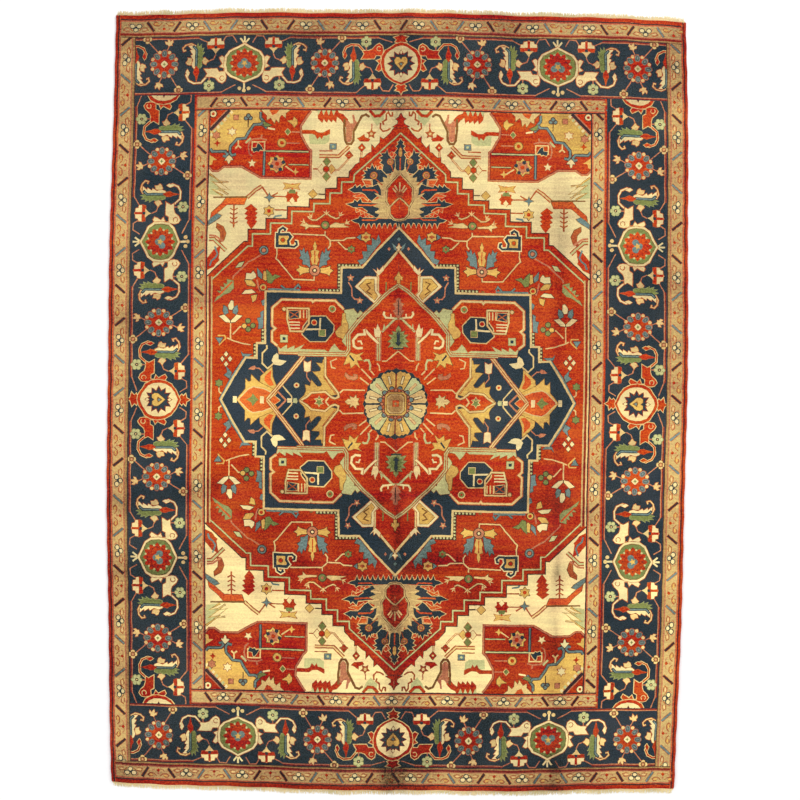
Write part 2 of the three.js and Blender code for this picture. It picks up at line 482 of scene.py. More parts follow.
    def draw_small_flower(self, c: Cartoon) -> None:
        """Draw a pale flower of six petals.

        Args:
            c: the drawing to add to.
        """
        for petal in range(6):
            c.at(turn=60 * petal).fill(WILLOW, oval(0, 1.6, 0.85, 0.9, 8), SAGE, 0.5)
        c.disc(WILLOW, 0, 0, 1.3)
        c.disc(AUBERGINE, 0, 0, 0.8)
        c.disc(STRAW, 0, 0, 0.35)

    def draw_fan(self, c: Cartoon) -> None:
        """Draw a fan-shaped flower that opens towards -y.

        Args:
            c: the drawing to add to.
        """
        petals = [(3.9, 0.4), (3.7, -1.3), (2.6, -1.5), (2.3, -2.7), (0.9, -2.8), (0, -3.2)]
        c.fill(IVORY, mirrored([(0, 0.4), *petals]), RUST)
        c.fill(MADDER, mirrored([(0, 1.9), (3.6, 1.7), (3.9, 0.3), (0, 0.3)]), RUST)
        c.fill(STRAW, mirrored([(0, 4.5), (0.7, 3.2), (2.1, 1.7), (0, 1.5)]))
        c.line(MADDER, 1.2, [(0, 1), (0, -3)])
        c.fill(NAVY, box(-0.65, 0.5, 0.65, 1.8))

    def draw_long_leaf(self, c: Cartoon) -> None:
        """Draw the long serrated leaf that crosses the band before a rosette.

        Args:
            c: the drawing to add to.
        """
        c.line(ROSE, 0.5, [(16.2, -1.5), (14.4, -2.1), (13.3, -4.3)])
        c.lines([(22.6, -8.4), (24.8, -9.5), (27.2, -9), (28.7, -7.6), (28.3, -6.2), (27.2, -6.6)],
            (RUST, 1), (STRAW, 0.45))
        c.fill(STRAW, [(26.7, 0), (27.2, -0.9), (26.4, -1.5), (26.3, -3), (24.6, -2.6), (24.2, 0),
            (25.2, 0.6)], RUST)
        c.fill(STRAW, [(19.2, -0.3), (17.8, 0.4), (17.4, -0.6), (16.2, -1.4), (17.1, -1.9), (18.4, -3.1),
            (19.6, -2.2)], RUST)
        c.fill(IVORY, [(23.8, 1.8), (24.5, 0.2), (23.8, -2), (25, -4), (24, -4.4), (25.3, -6.4),
            (24.3, -6.6), (26.1, -8.7), (24.2, -8.6), (22.7, -7), (22.4, 2.8)], RUST)
        c.fill(OLIVE, [(21.9, 1.8), (20.4, 1.8), (19.8, 0.6), (20, -1), (19.3, -2.4), (19.9, -3.6),
            (18.8, -5.4), (19.8, -5.4), (19, -7.4), (20.2, -6.8), (20, -9.2), (21.2, -7.6), (21.6, -9.6),
            (22.3, -7.4), (22.4, 3), (21.4, 3)], SAGE, 0.5)
        c.line(NAVY, 1.3, [(22.4, 1.4), (22.3, -6.6), (24, -8.4)])
        c.line(STEEL, 0.6, [(22.4, 1.4), (22.3, -6.6), (23.6, -8)])
        c.fill(MADDER, [(22.2, 8.6), (22.8, 5.6), (23.6, 4), (23.2, 2.6), (22.4, 1), (21.2, 2.4), (21.1, 4),
            (21.7, 5.4)], RUST, 0.4)

    def draw_rosette(self, c: Cartoon) -> None:
        """Draw the round flower between two palmettes, and the small ones on stems round it.

        Args:
            c: the drawing to add to.
        """
        c.line(ROSE, 0.5, [(-7.6, 10.6), (-1.8, 4), (0, 0), (1.8, -4), (6, -10.6)])
        c.line(ROSE, 0.5, [(2.4, 9), (0, 4), (0, -4), (-2.6, -9)])
        c.fill(MADDER, star(16, 5.9, 5.2))
        for petal in range(8):
            c.at(turn=45 * petal + 22.5).fill(STRAW, oval(0, 5.9, 0.85, 0.8, 8), MADDER, 0.4)
        for petal in range(8):
            ray = c.at(turn=45 * petal)
            ray.fill(STEEL, oval(0, 4.9, 1.2, 1.65, 10), RUST, 0.55)
            ray.fill(BROWN, oval(0, 4.9, 0.75, 1.15, 8))
            ray.fill(STEEL, oval(0, 4.9, 0.5, 0.85, 8))
        c.fill(MADDER, star(8, 3.6, 2.8))
        c.fill(IVORY, star(4, 1.7, 1.35), DEEP_MADDER, 0.4)
        c.fill(OLIVE, star(4, 0.9, 0.4))
        for x, y, turn in ((2.4, 9.6, 15), (-2.7, -9.6, 195)):
            fleur = c.at(x, y, turn=turn)
            maple = [(0, 2.5), (0.6, 1.3), (0.5, 0.7), (1.8, 1.5), (1.8, 0.3), (0.9, -0.3), (0.9, -1),
                (0, -0.9)]
            fleur.fill(STRAW, mirrored(maple), RUST, 0.4)
        for x, y in ((-8, 11.7), (6.8, -12.2)):
            flower = c.at(x, y)
            for petal in range(4):
                flower.at(turn=90 * petal).fill(STRAW, oval(0, 1.3, 0.95, 0.75, 8), BRONZE, 0.3)
            flower.disc(ROSE, 0, 0, 0.75, BRONZE)
            flower.disc(STRAW, 0, 0, 0.3)


GROUND_EDGE: Points = ((0, 127.5), (23.3, 106.8), (23.3, 104), (28.8, 104), (28.8, 98.8), (34, 98.8),
    (34, 93.8), (41.3, 93.8), (41.3, 90), (51.3, 90), (51.3, 84.3), (61, 84.3), (61, 79.2), (69.2, 79.2),
    (69.2, 73.5), (71.2, 73.5), (88.2, 57.5),)
CORNER_EDGE: Points = ((88.2, 135.2), (42, 135.2), (43.4, 133.5), (46.9, 128), (46.6, 123.4), (43.2, 117.3),
    (41.9, 116.2), (41.9, 104), (64, 104), (70, 107.4), (73, 109.2), (81.5, 109.2), (84.2, 107.3),
    (86.3, 107.3), (88.2, 109.3),)
MEDALLION_EDGE: Points = ((0, 80), (10, 69.6), (16.4, 61.9), (25.7, 61.9), (25.9, 50.1), (60.6, 50.2),
    (60.8, 26), (64.6, 26), (64.6, 19), (69.9, 19.1), (75.2, 10.5), (81, 0),)
PENDANT_EDGE: Points = ((0, 122.2), (9.6, 114), (18, 103.5), (23.4, 98.4), (23.4, 91.2), (21.2, 83.8),
    (0, 80.1))


def whole(quarter: Points) -> list[Point]:
    """Complete an outline given for one quarter, from the +y axis or near it round to the +x side."""
    right = [*quarter, *((x, -y) for x, y in reversed(quarter) if abs(y) > 1e-6)]
    return [*right, *((-x, y) for x, y in reversed(right) if abs(x) > 1e-6)]


@dataclass
class IvoryEnd:
    """The ivory ground at each end, with vases, branches and flowers in rust and sage."""

    c: Cartoon

    def draw(self) -> None:
        """Draw one quarter."""
        self.draw_top_row()
        self.draw_vase()
        self.draw_flowers()
        self.draw_side_leaves()
        self.draw_lower_row()

    def draw_top_row(self) -> None:
        """Draw what hangs from the inner guard."""
        c = self.c
        c.fill(MADDER, [(42, 135.2), (38.5, 135.2), (38.3, 131.5), (36.6, 129.8), (36, 131.6),
            (34.4, 129.8), (33.8, 131.4), (32.2, 130), (31.6, 131.2), (30.2, 130), (29.8, 132.6),
            (27.6, 131), (25.3, 127.5), (24.8, 131), (27, 133.4), (29, 134), (29.5, 135.2)], RUST)
        for tooth in range(4):
            x = 30.4 + 2.3 * tooth
            c.fill(WILLOW, [(x, 135.2), (x + 0.9, 133), (x + 1.8, 135.2)])
        c.fill(WILLOW, [(14.8, 134.5), (13.2, 130.8), (11, 128), (9.5, 129.6), (8, 131), (8, 135.2)])
        c.lines([(14.6, 135.2), (12.2, 132.6), (9.8, 132.8), (7.4, 135.2)], (RUST, 1.5), (MADDER, 0.8))
        scroll = [(8, 128.5), (8.5, 130), (6.8, 131), (6.8, 133.5), (5.8, 134.5), (4.9, 132.7), (4, 132.8),
            (4, 134.6)]
        c.line(RUST, 0.8, scroll)
        c.line(RUST, 0.8, [(9.4, 129.4), (9.6, 127), (8.3, 125.6), (6.4, 125.9), (4.8, 127)])

    def draw_vase(self) -> None:
        """Draw the tall forked stem."""
        c = self.c
        c.fill(ROSE, [(25.6, 130.8), (25.4, 122), (24.6, 120.6), (23.4, 120.6), (22.5, 122), (22.5, 125.6),
            (20.3, 129.8), (21.3, 131), (21.8, 133.3), (22.7, 133.5), (22.2, 129.3), (23.5, 129.4),
            (24.5, 130.5)])
        c.line(BRONZE, 1.1, [(26.2, 131.5), (26.3, 127), (25.8, 121.5), (24.8, 119.8), (23, 119.8),
            (21.9, 121.5), (21.9, 125.5), (20, 129.3), (18.2, 132.8), (16.3, 133.4), (14.6, 132.2)])

    def draw_flowers(self) -> None:
        """Draw the small flowers on their stems."""
        c = self.c
        c.line(ROSE, 0.6, [(13.5, 129.2), (13.5, 126.5)])
        c.at(13.7, 124.4).fill(RUST, star(5, 2.6, 1.3))
        c.disc(STRAW, 13.7, 124.4, 0.7)
        c.fill(MADDER, [(20, 122.4), (18.8, 122.8), (17, 124), (16.8, 122.8), (14.5, 122), (15, 121),
            (18.8, 121.2)], RUST)
        for x, y, end in ((18, 118, (18.3, 112.5)), (23.8, 114.5, (24.2, 112.5))):
            c.lines([(x, y), end], (ROSE, 1.1), (STRAW, 0.4))
            c.fill(MADDER, [(x, y + 1.9), (x + 1.6, y), (x, y - 1.7), (x - 1.6, y)], BRONZE)
            c.disc(STRAW, x, y, 0.5)
        c.lines([(21.8, 114.4), (25.8, 114.4)], (RUST, 0.8))
        c.lines([(24.2, 112.5), (28.5, 107.7), (31, 107.4)], (ROSE, 1), (STRAW, 0.4))
        c.lines([(37.5, 114), (28.6, 114), (23.8, 118.7)], (RUST, 1.8), (STRAW, 0.7))
        c.line(RUST, 0.6, [(37.5, 116.4), (31.5, 116.4)])
        c.fill(STEEL, box(29.8, 117.3, 32.8, 119.8), BRONZE)
        c.disc(WILLOW, 31.3, 118.5, 0.6)
        c.fill(WILLOW, [(42.5, 124), (33, 124.5), (33, 121), (35, 119.5), (42, 119.5)])
        c.fill(MADDER, [(46.5, 125.8), (40, 125.9), (38.5, 124.8), (36, 124.7), (34, 125.9), (33, 126.3),
            (33, 124.6), (34.5, 123.8), (36, 123.6), (36.6, 122.2), (37.4, 123.4), (38.6, 122.2),
            (39.5, 123.9), (41, 124.5), (46.5, 124.5)], RUST)

    def draw_side_leaves(self) -> None:
        """Draw the serrated leaves beside the long edge."""
        c = self.c
        leaf = [(88, 105.5), (81.7, 101), (86.6, 101.8), (80.7, 97.2), (86.6, 98.3), (81.5, 95.2), (88, 96)]
        c.fill(WILLOW, leaf)
        c.lines(leaf[:6], (BRONZE, 1.1), (GOLD, 0.6))
        c.lines([(x - 2.6, y + 0.4) for x, y in leaf[1:6]], (BRONZE, 1.0), (STRAW, 0.5))
        c.lines([(63.5, 99.6), (66.5, 97.6), (70.2, 94.2)], (RUST, 1.8), (STRAW, 0.7))
        c.line(BRONZE, 0.7, [(70, 94.5), (86, 94.5)])
        c.fill(ORANGE, [(80, 94), (70.3, 94), (71.5, 91), (79.5, 91), (84.5, 86.7), (87, 85), (86.5, 87.5),
            (82, 91.5)], BRONZE)
        c.line(RUST, 0.8, [(76.2, 91), (76.2, 80.2)])
        for barb in range(4):
            y = 82 + 2.1 * barb
            c.line(RUST, 0.6, [(74.4, y + 1), (76.2, y), (78, y + 1)])
        c.fill(STEEL, [(81.8, 86), (83, 84.7), (88, 81.5), (88, 83.5), (86.3, 85.2), (84, 86.8)], BRONZE)
        c.fill(RUST, [(84, 82.3), (81, 80.8), (79.6, 77.6), (80.6, 74.4), (83.4, 73), (82.2, 75.6),
            (82.4, 78.4), (84.2, 80.4)], BRONZE)
        c.lines([(87.5, 75), (85.3, 75), (79.6, 69.6)], (RUST, 2), (WILLOW, 0.9))
        c.line(ROSE, 0.9, [(87.5, 76.8), (84.8, 76.6), (80.8, 73.8)])
        c.fill(MADDER, [(82.3, 71.5), (83.2, 66), (82.7, 65.2), (84, 64), (85.3, 62.2), (88.2, 60.8),
            (88.2, 66), (85, 70)], RUST)
        c.line(STEEL, 0.8, [(84.8, 71.5), (83.5, 68), (84.5, 66.2), (86.3, 64.8), (87, 62.5)])

    def draw_lower_row(self) -> None:
        """Draw the row along the steps of the red ground."""
        c = self.c
        c.line(RUST, 0.6, [(40.3, 108), (37, 108)])
        for x, y, yarn in ((34, 111.5, OLIVE), (34, 104.5, OLIVE), (31.8, 108, GOLD), (36.4, 108, IVORY)):
            c.fill(yarn, diamond(x, y, 1.7, 2.1), RUST)
        c.disc(MADDER, 34.2, 108, 1.2, BRONZE)
        c.line(BROWN, 0.6, [(37.5, 96.3), (34.2, 96.3)])
        c.fill(GOLD, [(40, 98.4), (42, 96.3), (40, 94.4), (38, 96.3)], BRONZE)
        c.line(ORANGE, 1, [(49.5, 101), (49.5, 98)])
        bow = [(46, 98.2), (49.5, 99), (53.6, 98.2), (52.6, 99.7), (53.6, 101.2), (49.5, 100.4),
            (46, 101.2), (47, 99.7)]
        c.fill(GOLD, bow, RUST)
        c.line(RUST, 0.6, [(52, 94.8), (58.5, 94.8)])
        c.at(49.5, 94.8).fill(MADDER, star(8, 3.1, 2.3), RUST)
        c.fill(OLIVE, [(47.6, 96.4), (51.4, 96.4), (50.6, 98.2), (48.4, 98.2)])
        c.fill(IVORY, [(49.4, 94.6), (50.6, 93), (49.4, 91.4), (48.2, 93)])
        c.line(RUST, 0.7, [(56, 96.6), (60, 94.3), (63.5, 99.4)])
        c.at(60, 94.3).fill(STEEL, star(4, 2.2, 0.8), BRONZE)
        c.fill(MADDER, [(68.4, 91), (71, 89), (69.5, 88.3), (71, 86.6), (69.5, 86), (70.8, 84.4),
            (69.5, 83.8), (70, 82.5), (68, 79.8), (66.2, 82), (65.6, 83.2), (66.6, 83.6), (65.6, 85),
            (66.6, 85.6), (65.4, 87), (66.6, 87.6), (65.6, 88.8), (66.8, 89.6)], RUST)
        c.line(RUST, 0.7, [(57.5, 88.6), (51.3, 88.6)])
        c.at(60, 88).fill(GOLD, star(6, 2.6, 1.7), BROWN)
        c.disc(MADDER, 60, 88, 0.9)
        c.line(STEEL, 0.8, [(54, 86), (57, 85.6), (59.5, 82)])


@dataclass
class CornerPanel:
    """The madder panel in each corner of the field, cut off at the corner by a gold triangle."""

    c: Cartoon

    def draw_ground(self) -> None:
        """Draw the ground of one quarter inside its two outlines."""
        c = self.c
        c.lines(CORNER_EDGE[1:], (RUST, 2.2), (ROSE, 1.7))
        c.fill(MADDER, CORNER_EDGE)
        c.line(DEEP_MADDER, 0.4, CORNER_EDGE[1:])

    def draw(self) -> None:
        """Draw the motifs of one quarter."""
        self.draw_corner()
        self.draw_lattice()
        self.draw_leaves()
        self.draw_flowers()

    def draw_corner(self) -> None:
        """Draw the gold corner, its steel blue outline and the diamonds along the diagonal."""
        c = self.c
        c.fill(GOLD, [(88.2, 126), (79.3, 135.2), (65.2, 135.2), (65, 131.5), (63.8, 129.3), (64.2, 128.1),
            (68, 128.2), (70.5, 124.6), (71.7, 121.9), (75, 121.9), (77.2, 119.8), (78.7, 118),
            (78.7, 116.2), (88.2, 116.4)])
        c.fill(MADDER, [(88.2, 126), (79.3, 135.2), (88.2, 135.2)])
        outline = [(76, 114.5), (77.8, 113.9), (78.8, 115.3), (78.6, 118), (75.6, 121.5), (71.8, 121.9),
            (70.3, 124.8), (67.9, 128.3), (64.8, 128.4), (63.6, 129.8), (65, 131.5), (65, 134.2)]
        side = [(88, 117.3), (87, 115.9), (81, 115.9), (79.9, 114.6), (80.6, 113.4), (82, 113.8)]
        for path in (outline, side, [(62, 126.5), (63.8, 128.3)]):
            c.lines(path, (BROWN, 1.6), (STEEL, 0.9))
        c.lines([(88.2, 126), (79.3, 135.2)], (ROSE, 2.4), (AUBERGINE, 1.4))
        for k in range(7):
            x, y = 78.5 + 1.5 * k, 134 - 1.67 * k
            c.fill(WILLOW if k % 2 else IVORY, diamond(x, y, 0.9, 1))
        c.disc(IVORY, 87, 133.6, 1.5, BROWN)
        c.disc(MADDER, 87, 133.6, 0.7)
        c.fill(ROSE, box(75.2, 130.5, 77.4, 132.7), BRONZE)
        c.line(BROWN, 0.5, [(70.7, 131.3), (70.7, 127)])
        for x, y in ((-1, 0), (1, 0), (0, 1.1)):
            c.disc(STEEL, 70.7 + x, 131.3 + y, 0.8, BROWN)
        c.at(78, 125).fill(IVORY, star(6, 2.1, 1.2), RUST)
        c.at(85.3, 123.5).fill(ROSE, star(6, 2, 1.3), BRONZE)
        c.at(84.8, 119.8).fill(MADDER, star(4, 1.8, 0.7))
        c.disc(IVORY, 78, 125, 0.6)

    def draw_lattice(self) -> None:
        """Draw the straight lines that divide the panel."""
        c = self.c
        c.lines([(42.5, 115.9), (63.2, 115.9)], (BROWN, 1.3), (WILLOW, 0.6))
        c.lines([(62.8, 104.5), (62.8, 115.8)], (AUBERGINE, 1.5), (STEEL, 0.7))
        c.line(ROSE, 0.6, [(46.8, 119.8), (53, 119.8)])
        c.line(ROSE, 0.6, [(46.8, 125), (50.5, 125)])
        c.lines([(42.3, 109.8), (51.5, 109.8)], (BROWN, 0.9), (WILLOW, 0.4))
        c.lines([(53, 109), (49.5, 106.7)], (STRAW, 0.6))
        c.at(48.3, 106.5).fill(GOLD, star(4, 1.8, 0.7))
        frame_line = [(61.8, 121), (64.5, 121.8), (68, 121.6), (69.8, 120.5), (70.3, 117.5), (69.8, 114.8),
            (68.3, 113.5)]
        c.lines(frame_line, (ROSE, 0.7))
        c.line(ROSE, 0.7, [(64.5, 121.8), (64.2, 123.6)])
        c.lines([(75, 121), (75, 118.5), (76.3, 117.2)], (STRAW, 0.7))
        c.line(STRAW, 0.7, [(75, 118.5), (73.6, 117.3)])
        c.line(WILLOW, 0.9, [(71.6, 119.6), (69.3, 122)])

    def draw_leaves(self) -> None:
        """Draw the larger leaves and flames."""
        c = self.c
        flames = [(64.8, 135.2), (62, 132.5), (62, 130.5), (60.3, 131.4), (58.5, 128.8), (58, 130.8),
            (56.5, 129.2), (56.2, 131.8), (55.3, 133), (53.5, 131.5), (53.4, 133.7), (51.5, 135.2)]
        c.fill(STRAW, flames, BRONZE)
        c.fill(ORANGE, [(61, 135.2), (59.6, 132.6), (57.8, 133.4), (56.4, 135.2)])
        c.fill(GOLD, [(52.6, 130.1), (50.2, 130.4), (49.5, 131.9), (48.1, 130.6), (48, 128.8),
            (49.3, 127.1), (50.4, 128.7)], BRONZE)
        c.fill(OLIVE, [(64, 130), (62, 128.9), (59.9, 128), (61.2, 127.2), (63.2, 127.5)], BROWN)
        c.line(IVORY, 0.8, [(61.5, 126.6), (58.2, 126)])
        c.fill(GOLD, [(88.2, 114.5), (86.8, 113.5), (84.6, 112), (86.6, 111.9), (87, 110), (88.2, 109.5)])
        c.fill(IVORY, [(81.1, 111.7), (79.9, 113.4), (79.1, 114), (78.3, 113.4), (77.1, 111.9),
            (78.5, 111.7), (78.7, 110.6), (79.2, 109.9), (79.6, 110.7), (79.9, 111.7)], BROWN)
        c.lines(box(62.8, 116.2, 68.6, 120.2), (STRAW, 0.6), closed=True)
        c.fill(NAVY, [(66, 119.6), (65.3, 119.3), (64.2, 118), (63.3, 116.3), (64.8, 116.6), (65.5, 115.6),
            (66.3, 116), (67.8, 115.4), (68.5, 117.3), (66.5, 117.6)], STRAW)
        c.fill(OLIVE, [(52.3, 126.4), (53.5, 125), (52.3, 123.6), (51.1, 125)], STRAW)

    def draw_flowers(self) -> None:
        """Draw the round flowers."""
        c = self.c
        c.disc(GOLD, 54.9, 119.8, 1.9, BRONZE)
        c.disc(MADDER, 54.9, 119.8, 0.9)
        c.at(57, 110).fill(GOLD, star(8, 4.2, 3.1), BROWN)
        c.at(57, 110).fill(ROSE, star(8, 3.2, 2.2))
        for x, y in ((57.6, 112.3), (53.9, 110.8), (55.3, 107.5), (59.3, 108.9)):
            c.disc(NAVY, x, y, 0.9)
        c.disc(MADDER, 56.8, 110, 1)
        c.at(68.4, 110.2).fill(IVORY, star(5, 1.9, 0.9), RUST)


@dataclass
class RedGround:
    """The madder ground between the medallion and the ivory ends, with its flowering branches."""

    c: Cartoon

    def draw_outline(self) -> None:
        """Draw the outlines of one quarter over both grounds."""
        c = self.c
        teeth = [(0, 129.3), (3.6, 126.6), (5, 124.6), (8, 121.8), (9.6, 122.9), (9.6, 120.4), (12, 117.6),
            (13.4, 119.2), (13.4, 116), (14.8, 115.4), (17.2, 113.2), (18.8, 113.2), (18.8, 111.2),
            (20.6, 110.2), (23.3, 106.8), (17, 108), (0, 122)]
        c.fill(MADDER, teeth, BROWN, 0.5)
        c.fill(MADDER, [(0, 134), (1, 132), (2.4, 131.2), (1.2, 130.4), (1.5, 129), (3.8, 127.6), (0, 127)],
            BROWN)
        inner = [(x - 1.9, y - 1.9) for x, y in GROUND_EDGE[2:-1]]
        c.lines([(0, 124.7), (21.2, 105.5), *inner, (86.3, 55.8)], (BRONZE, 0.95), (WILLOW, 0.6))

    def draw(self) -> None:
        """Draw the motifs of one quarter."""
        self.draw_buckle()
        self.draw_branches()
        self.draw_star_flower()
        self.draw_bunch()
        self.draw_side_flowers()
        self.draw_end_of_axis()

    def draw_buckle(self) -> None:
        """Draw the navy buckle and the long vine that leads through it."""
        c = self.c
        vine = ([(56, 71.2), (55.9, 68), (56.4, 65.9), (55.2, 64.9), (48.2, 56.5), (38.8, 56.3), (38.6, 58.5)],
                [(48.9, 77.6), (34, 77.2), (31.5, 74.8), (25.5, 75), (24, 76), (20, 76.2)],
                [(31.6, 74.7), (31.5, 72.5), (32.5, 71)], [(28, 74.2), (24.5, 70.9), (22.8, 70.8)],
                [(34, 77.5), (33.9, 79)])
        for path in vine:
            c.lines(path, (DEEP_MADDER, 1.1), (STRAW, 0.6))
        buckle = [(55.9, 77.2), (50.6, 77.3), (49.7, 76.2), (51, 74.4), (50.6, 71.9), (55.9, 71.8)]
        curls = ([(55.2, 77.5), (54.8, 79.4), (53.4, 80.3), (52.3, 79.6), (52.6, 78.7)], [(50.6, 71.8),
            (48, 71.6), (46.8, 72.6), (47, 73.9), (47.9, 74.1)])
        for yarn, width in ((IVORY, 2.3), (NAVY, 1.3)):
            c.line(yarn, width, buckle, closed=True)
            for curl in curls:
                c.line(yarn, width - 0.3, curl)
        c.fill(GOLD, [(x * 0.75 + 13.2, y * 0.75 + 18.6) for x, y in buckle])
        c.disc(MADDER, 53.3, 74.6, 0.8, BRONZE)

    def draw_branches(self) -> None:
        """Draw the camel branch under the ivory ground and the small flowers by it."""
        c = self.c
        for bar in ([(45.5, 81.7), (43.6, 82.5), (44.2, 84.2), (42.5, 82.6), (41.5, 82), (36.5, 81.6),
                (36.5, 80.9), (41.5, 81), (43, 79.6), (43, 81)], [(32, 81.6), (29.5, 83.2), (27, 82.7),
                (25, 82.9), (25.5, 81.9), (22.8, 81.1), (31.5, 80.9)]):
            c.fill(STRAW, bar, BRONZE)
        c.lines([(42, 85.5), (40, 84.2), (38, 84.2), (35.5, 86), (33.6, 87.5), (31.5, 86), (29, 85),
            (27.5, 85.6)], (BRONZE, 1), (STRAW, 0.5))
        for x, y, turn in ((33.6, 87.2, 0), (27.3, 86.6, 30), (40.6, 85.6, -30), (43.6, 83, -70),
                (24.4, 83, 60)):
            spray = c.at(x, y, turn=turn)
            for lean in (-50, 0, 50):
                spray.at(turn=lean).fill(STRAW, [(-0.5, -0.4), (0, 2.1), (0.5, -0.4)], RUST, 0.35)
        c.disc(OLIVE, 34, 82, 1.7, BROWN)
        c.disc(ROSE, 34, 82, 0.7)
        for x, y, r in ((15.2, 76.4, 2.5), (21.8, 70.8, 1.8)):
            c.at(x, y).fill(GOLD if r > 2 else OLIVE, star(6, r, r * 0.7), BROWN)
            c.disc(RUST, x, y, r * 0.35)
        c.fill(STEEL, [(17.6, 77.7), (19.4, 76.4), (17.6, 75.1)], BROWN)
        c.line(RUST, 0.7, [(14, 76.4), (16.6, 76.4)])

    def draw_star_flower(self) -> None:
        """Draw the winged flower on a twin stalk."""
        c = self.c
        flame = [(0, 13.6), (0.8, 11.4), (0.4, 9.6), (1.9, 9), (1.3, 6.6), (1.9, 5.2), (0.8, 2)]
        c.at(38.5, 60.8).fill(GOLD, mirrored(flame), BRONZE, 0.4)
        c.line(MADDER, 0.45, [(38.5, 70), (38.5, 64)])
        wing = [(2.6, 6.4), (3.4, 9), (4.4, 7.6), (5, 10.4), (5.9, 8.8), (7.2, 9.6), (6.2, 6.8), (7, 5.6),
            (5.4, 4.6), (5.6, 2.8), (3.6, 2.4), (2, 1.2)]
        fleur = [(-2.5, 1), (-5, 1.2), (-7.2, 2.2), (-6.9, 1), (-8.5, 0.1), (-6.9, -1.2), (-6.8, -2.4),
            (-5.5, -1.5), (-2.5, -0.9)]
        for side in (-1, 1):
            half = c.at(38.5, 60.8, flip=(side, 1))
            half.fill(STEEL, wing, BROWN)
            half.fill(GOLD, fleur, BROWN)
        c.disc(ROSE, 38.5, 60.8, 2.4, BROWN)
        c.disc(BROWN, 38.5, 60.8, 1.2)
        c.disc(IVORY, 38.5, 60.8, 0.6)
        c.line(ROSE, 0.7, [(62.5, 68), (66.5, 65.5), (69, 64.3), (71.5, 61.8), (76, 57.5), (76.3, 56.2)])
        c.disc(STEEL, 62, 69.7, 2, BROWN)
        c.disc(ROSE, 62, 69.7, 0.9, BROWN)
        c.fill(WILLOW, [(71, 64.4), (73.4, 63.8), (75, 61.6), (72.4, 61.9)], BROWN)

    def draw_bunch(self) -> None:
        """Draw the bunch of leaves at the shoulder of the medallion."""
        c = self.c
        c.line(ROSE, 0.8, [(65, 56), (64.5, 53), (63.5, 50.5)])
        leaves = ((IVORY, [(70.3, 56.2), (70, 59), (67.8, 58.8), (66.8, 60), (65.6, 58.5), (65.5, 57),
            (67.5, 56)]), (STEEL, [(65, 61.5), (62.6, 58.5), (62.8, 56.3), (64.6, 57.6)]),
            (GOLD, [(62, 60), (60.2, 59.7), (59.8, 57.5), (61, 55.4), (62.2, 56.2)]), (OLIVE, [(60.8, 60.8),
            (59.3, 59.5), (57.8, 57.5), (56.8, 58.5), (54, 57.7), (56.8, 56.5), (58.4, 54.3),
            (60.2, 54.7)]), (GOLD, [(70.8, 55.8), (67.5, 55.6), (65.6, 53.5), (66, 52.8), (69.5, 53.3)]),
            (IVORY, [(72, 49.3), (70.6, 51), (67.5, 51.4), (65.7, 50), (68, 49.5)]), (GOLD, [(67.8, 48.5),
            (65, 49), (65.5, 46.5), (67, 45.5)]))
        for yarn, leaf in leaves:
            c.fill(yarn, leaf, BROWN)
        c.disc(GOLD, 62.2, 52.4, 1.5, BROWN)
        c.disc(MADDER, 62.2, 52.4, 0.8)
        leaf = [(85, 45.5), (83.8, 47.8), (82, 49.3), (83.5, 50.8), (81.5, 50.5), (82, 52.8), (80, 52.2),
            (80.5, 54.3), (79, 53.8), (79, 56.2), (76, 55.4), (75.8, 52), (77.6, 50), (80.3, 49)]
        c.fill(SAGE, leaf, BRONZE, 0.4)
        c.line(ORANGE, 0.8, [(83, 48.5), (76.5, 55)])
        c.lines([(54, 53.5), (52, 51.8), (48, 51.8), (46, 54), (45, 52.4)], (BROWN, 1.2), (STEEL, 0.7))

    def draw_side_flowers(self) -> None:
        """Draw the tulip and the small flowers by the long edge."""
        c = self.c
        c.line(STRAW, 0.6, [(77.3, 36), (77.3, 28)])
        for side in (-1, 1):
            half = c.at(77.3, 0, flip=(side, 1))
            half.fill(STEEL, [(3.2, 44), (1.5, 43), (1, 40.5), (2.7, 39.5), (3.5, 41.5)], BROWN)
            half.fill(IVORY, [(5.4, 39), (2.9, 39.6), (0.2, 36.8), (0.2, 35.9), (2.2, 36.2)], BROWN)
        c.fill(IVORY, [(76, 46), (75.8, 43), (76.5, 41.8), (78, 42), (78.4, 44), (77, 46.3)], BROWN)
        c.line(STRAW, 0.6, [(78.8, 28.7), (76.5, 27.6), (72, 26.2), (68, 25.6)])
        c.line(STRAW, 0.6, [(76.3, 30.3), (73, 33.9), (71.8, 34)])
        for x, y, yarn in ((69.2, 36.7, OLIVE), (66.9, 34.5, OLIVE), (69.1, 32.8, OLIVE), (70.9, 34.3,
                GOLD)):
            c.disc(yarn, x, y, 1.1, BROWN)
        c.fill(STEEL, [(84.2, 28.9), (80.9, 28.9), (82.3, 26)], BROWN)
        c.line(GOLD, 0.6, [(83.3, 29.9), (80, 29.9), (79.5, 28.6), (82.6, 25.4)])
        for x, y in ((79.3, 21.2), (81, 19), (77.5, 19), (79.3, 16.5)):
            c.fill(IVORY, diamond(x, y, 1, 1.3), BROWN)
        c.fill(STEEL, [(72.6, 22.8), (71.5, 21.3), (67.2, 21.2), (69, 20), (71.7, 20.2)], BROWN)
        c.line(STRAW, 0.6, [(82.4, 6), (82.4, 3.7), (80.8, 2.6)])
        c.at(82.5, 7.7).fill(OLIVE, star(6, 1.9, 1.3), BROWN)
        c.fill(STEEL, [(74.5, 9.8), (76.2, 10.6), (78, 9.8), (76.2, 9)], BROWN)

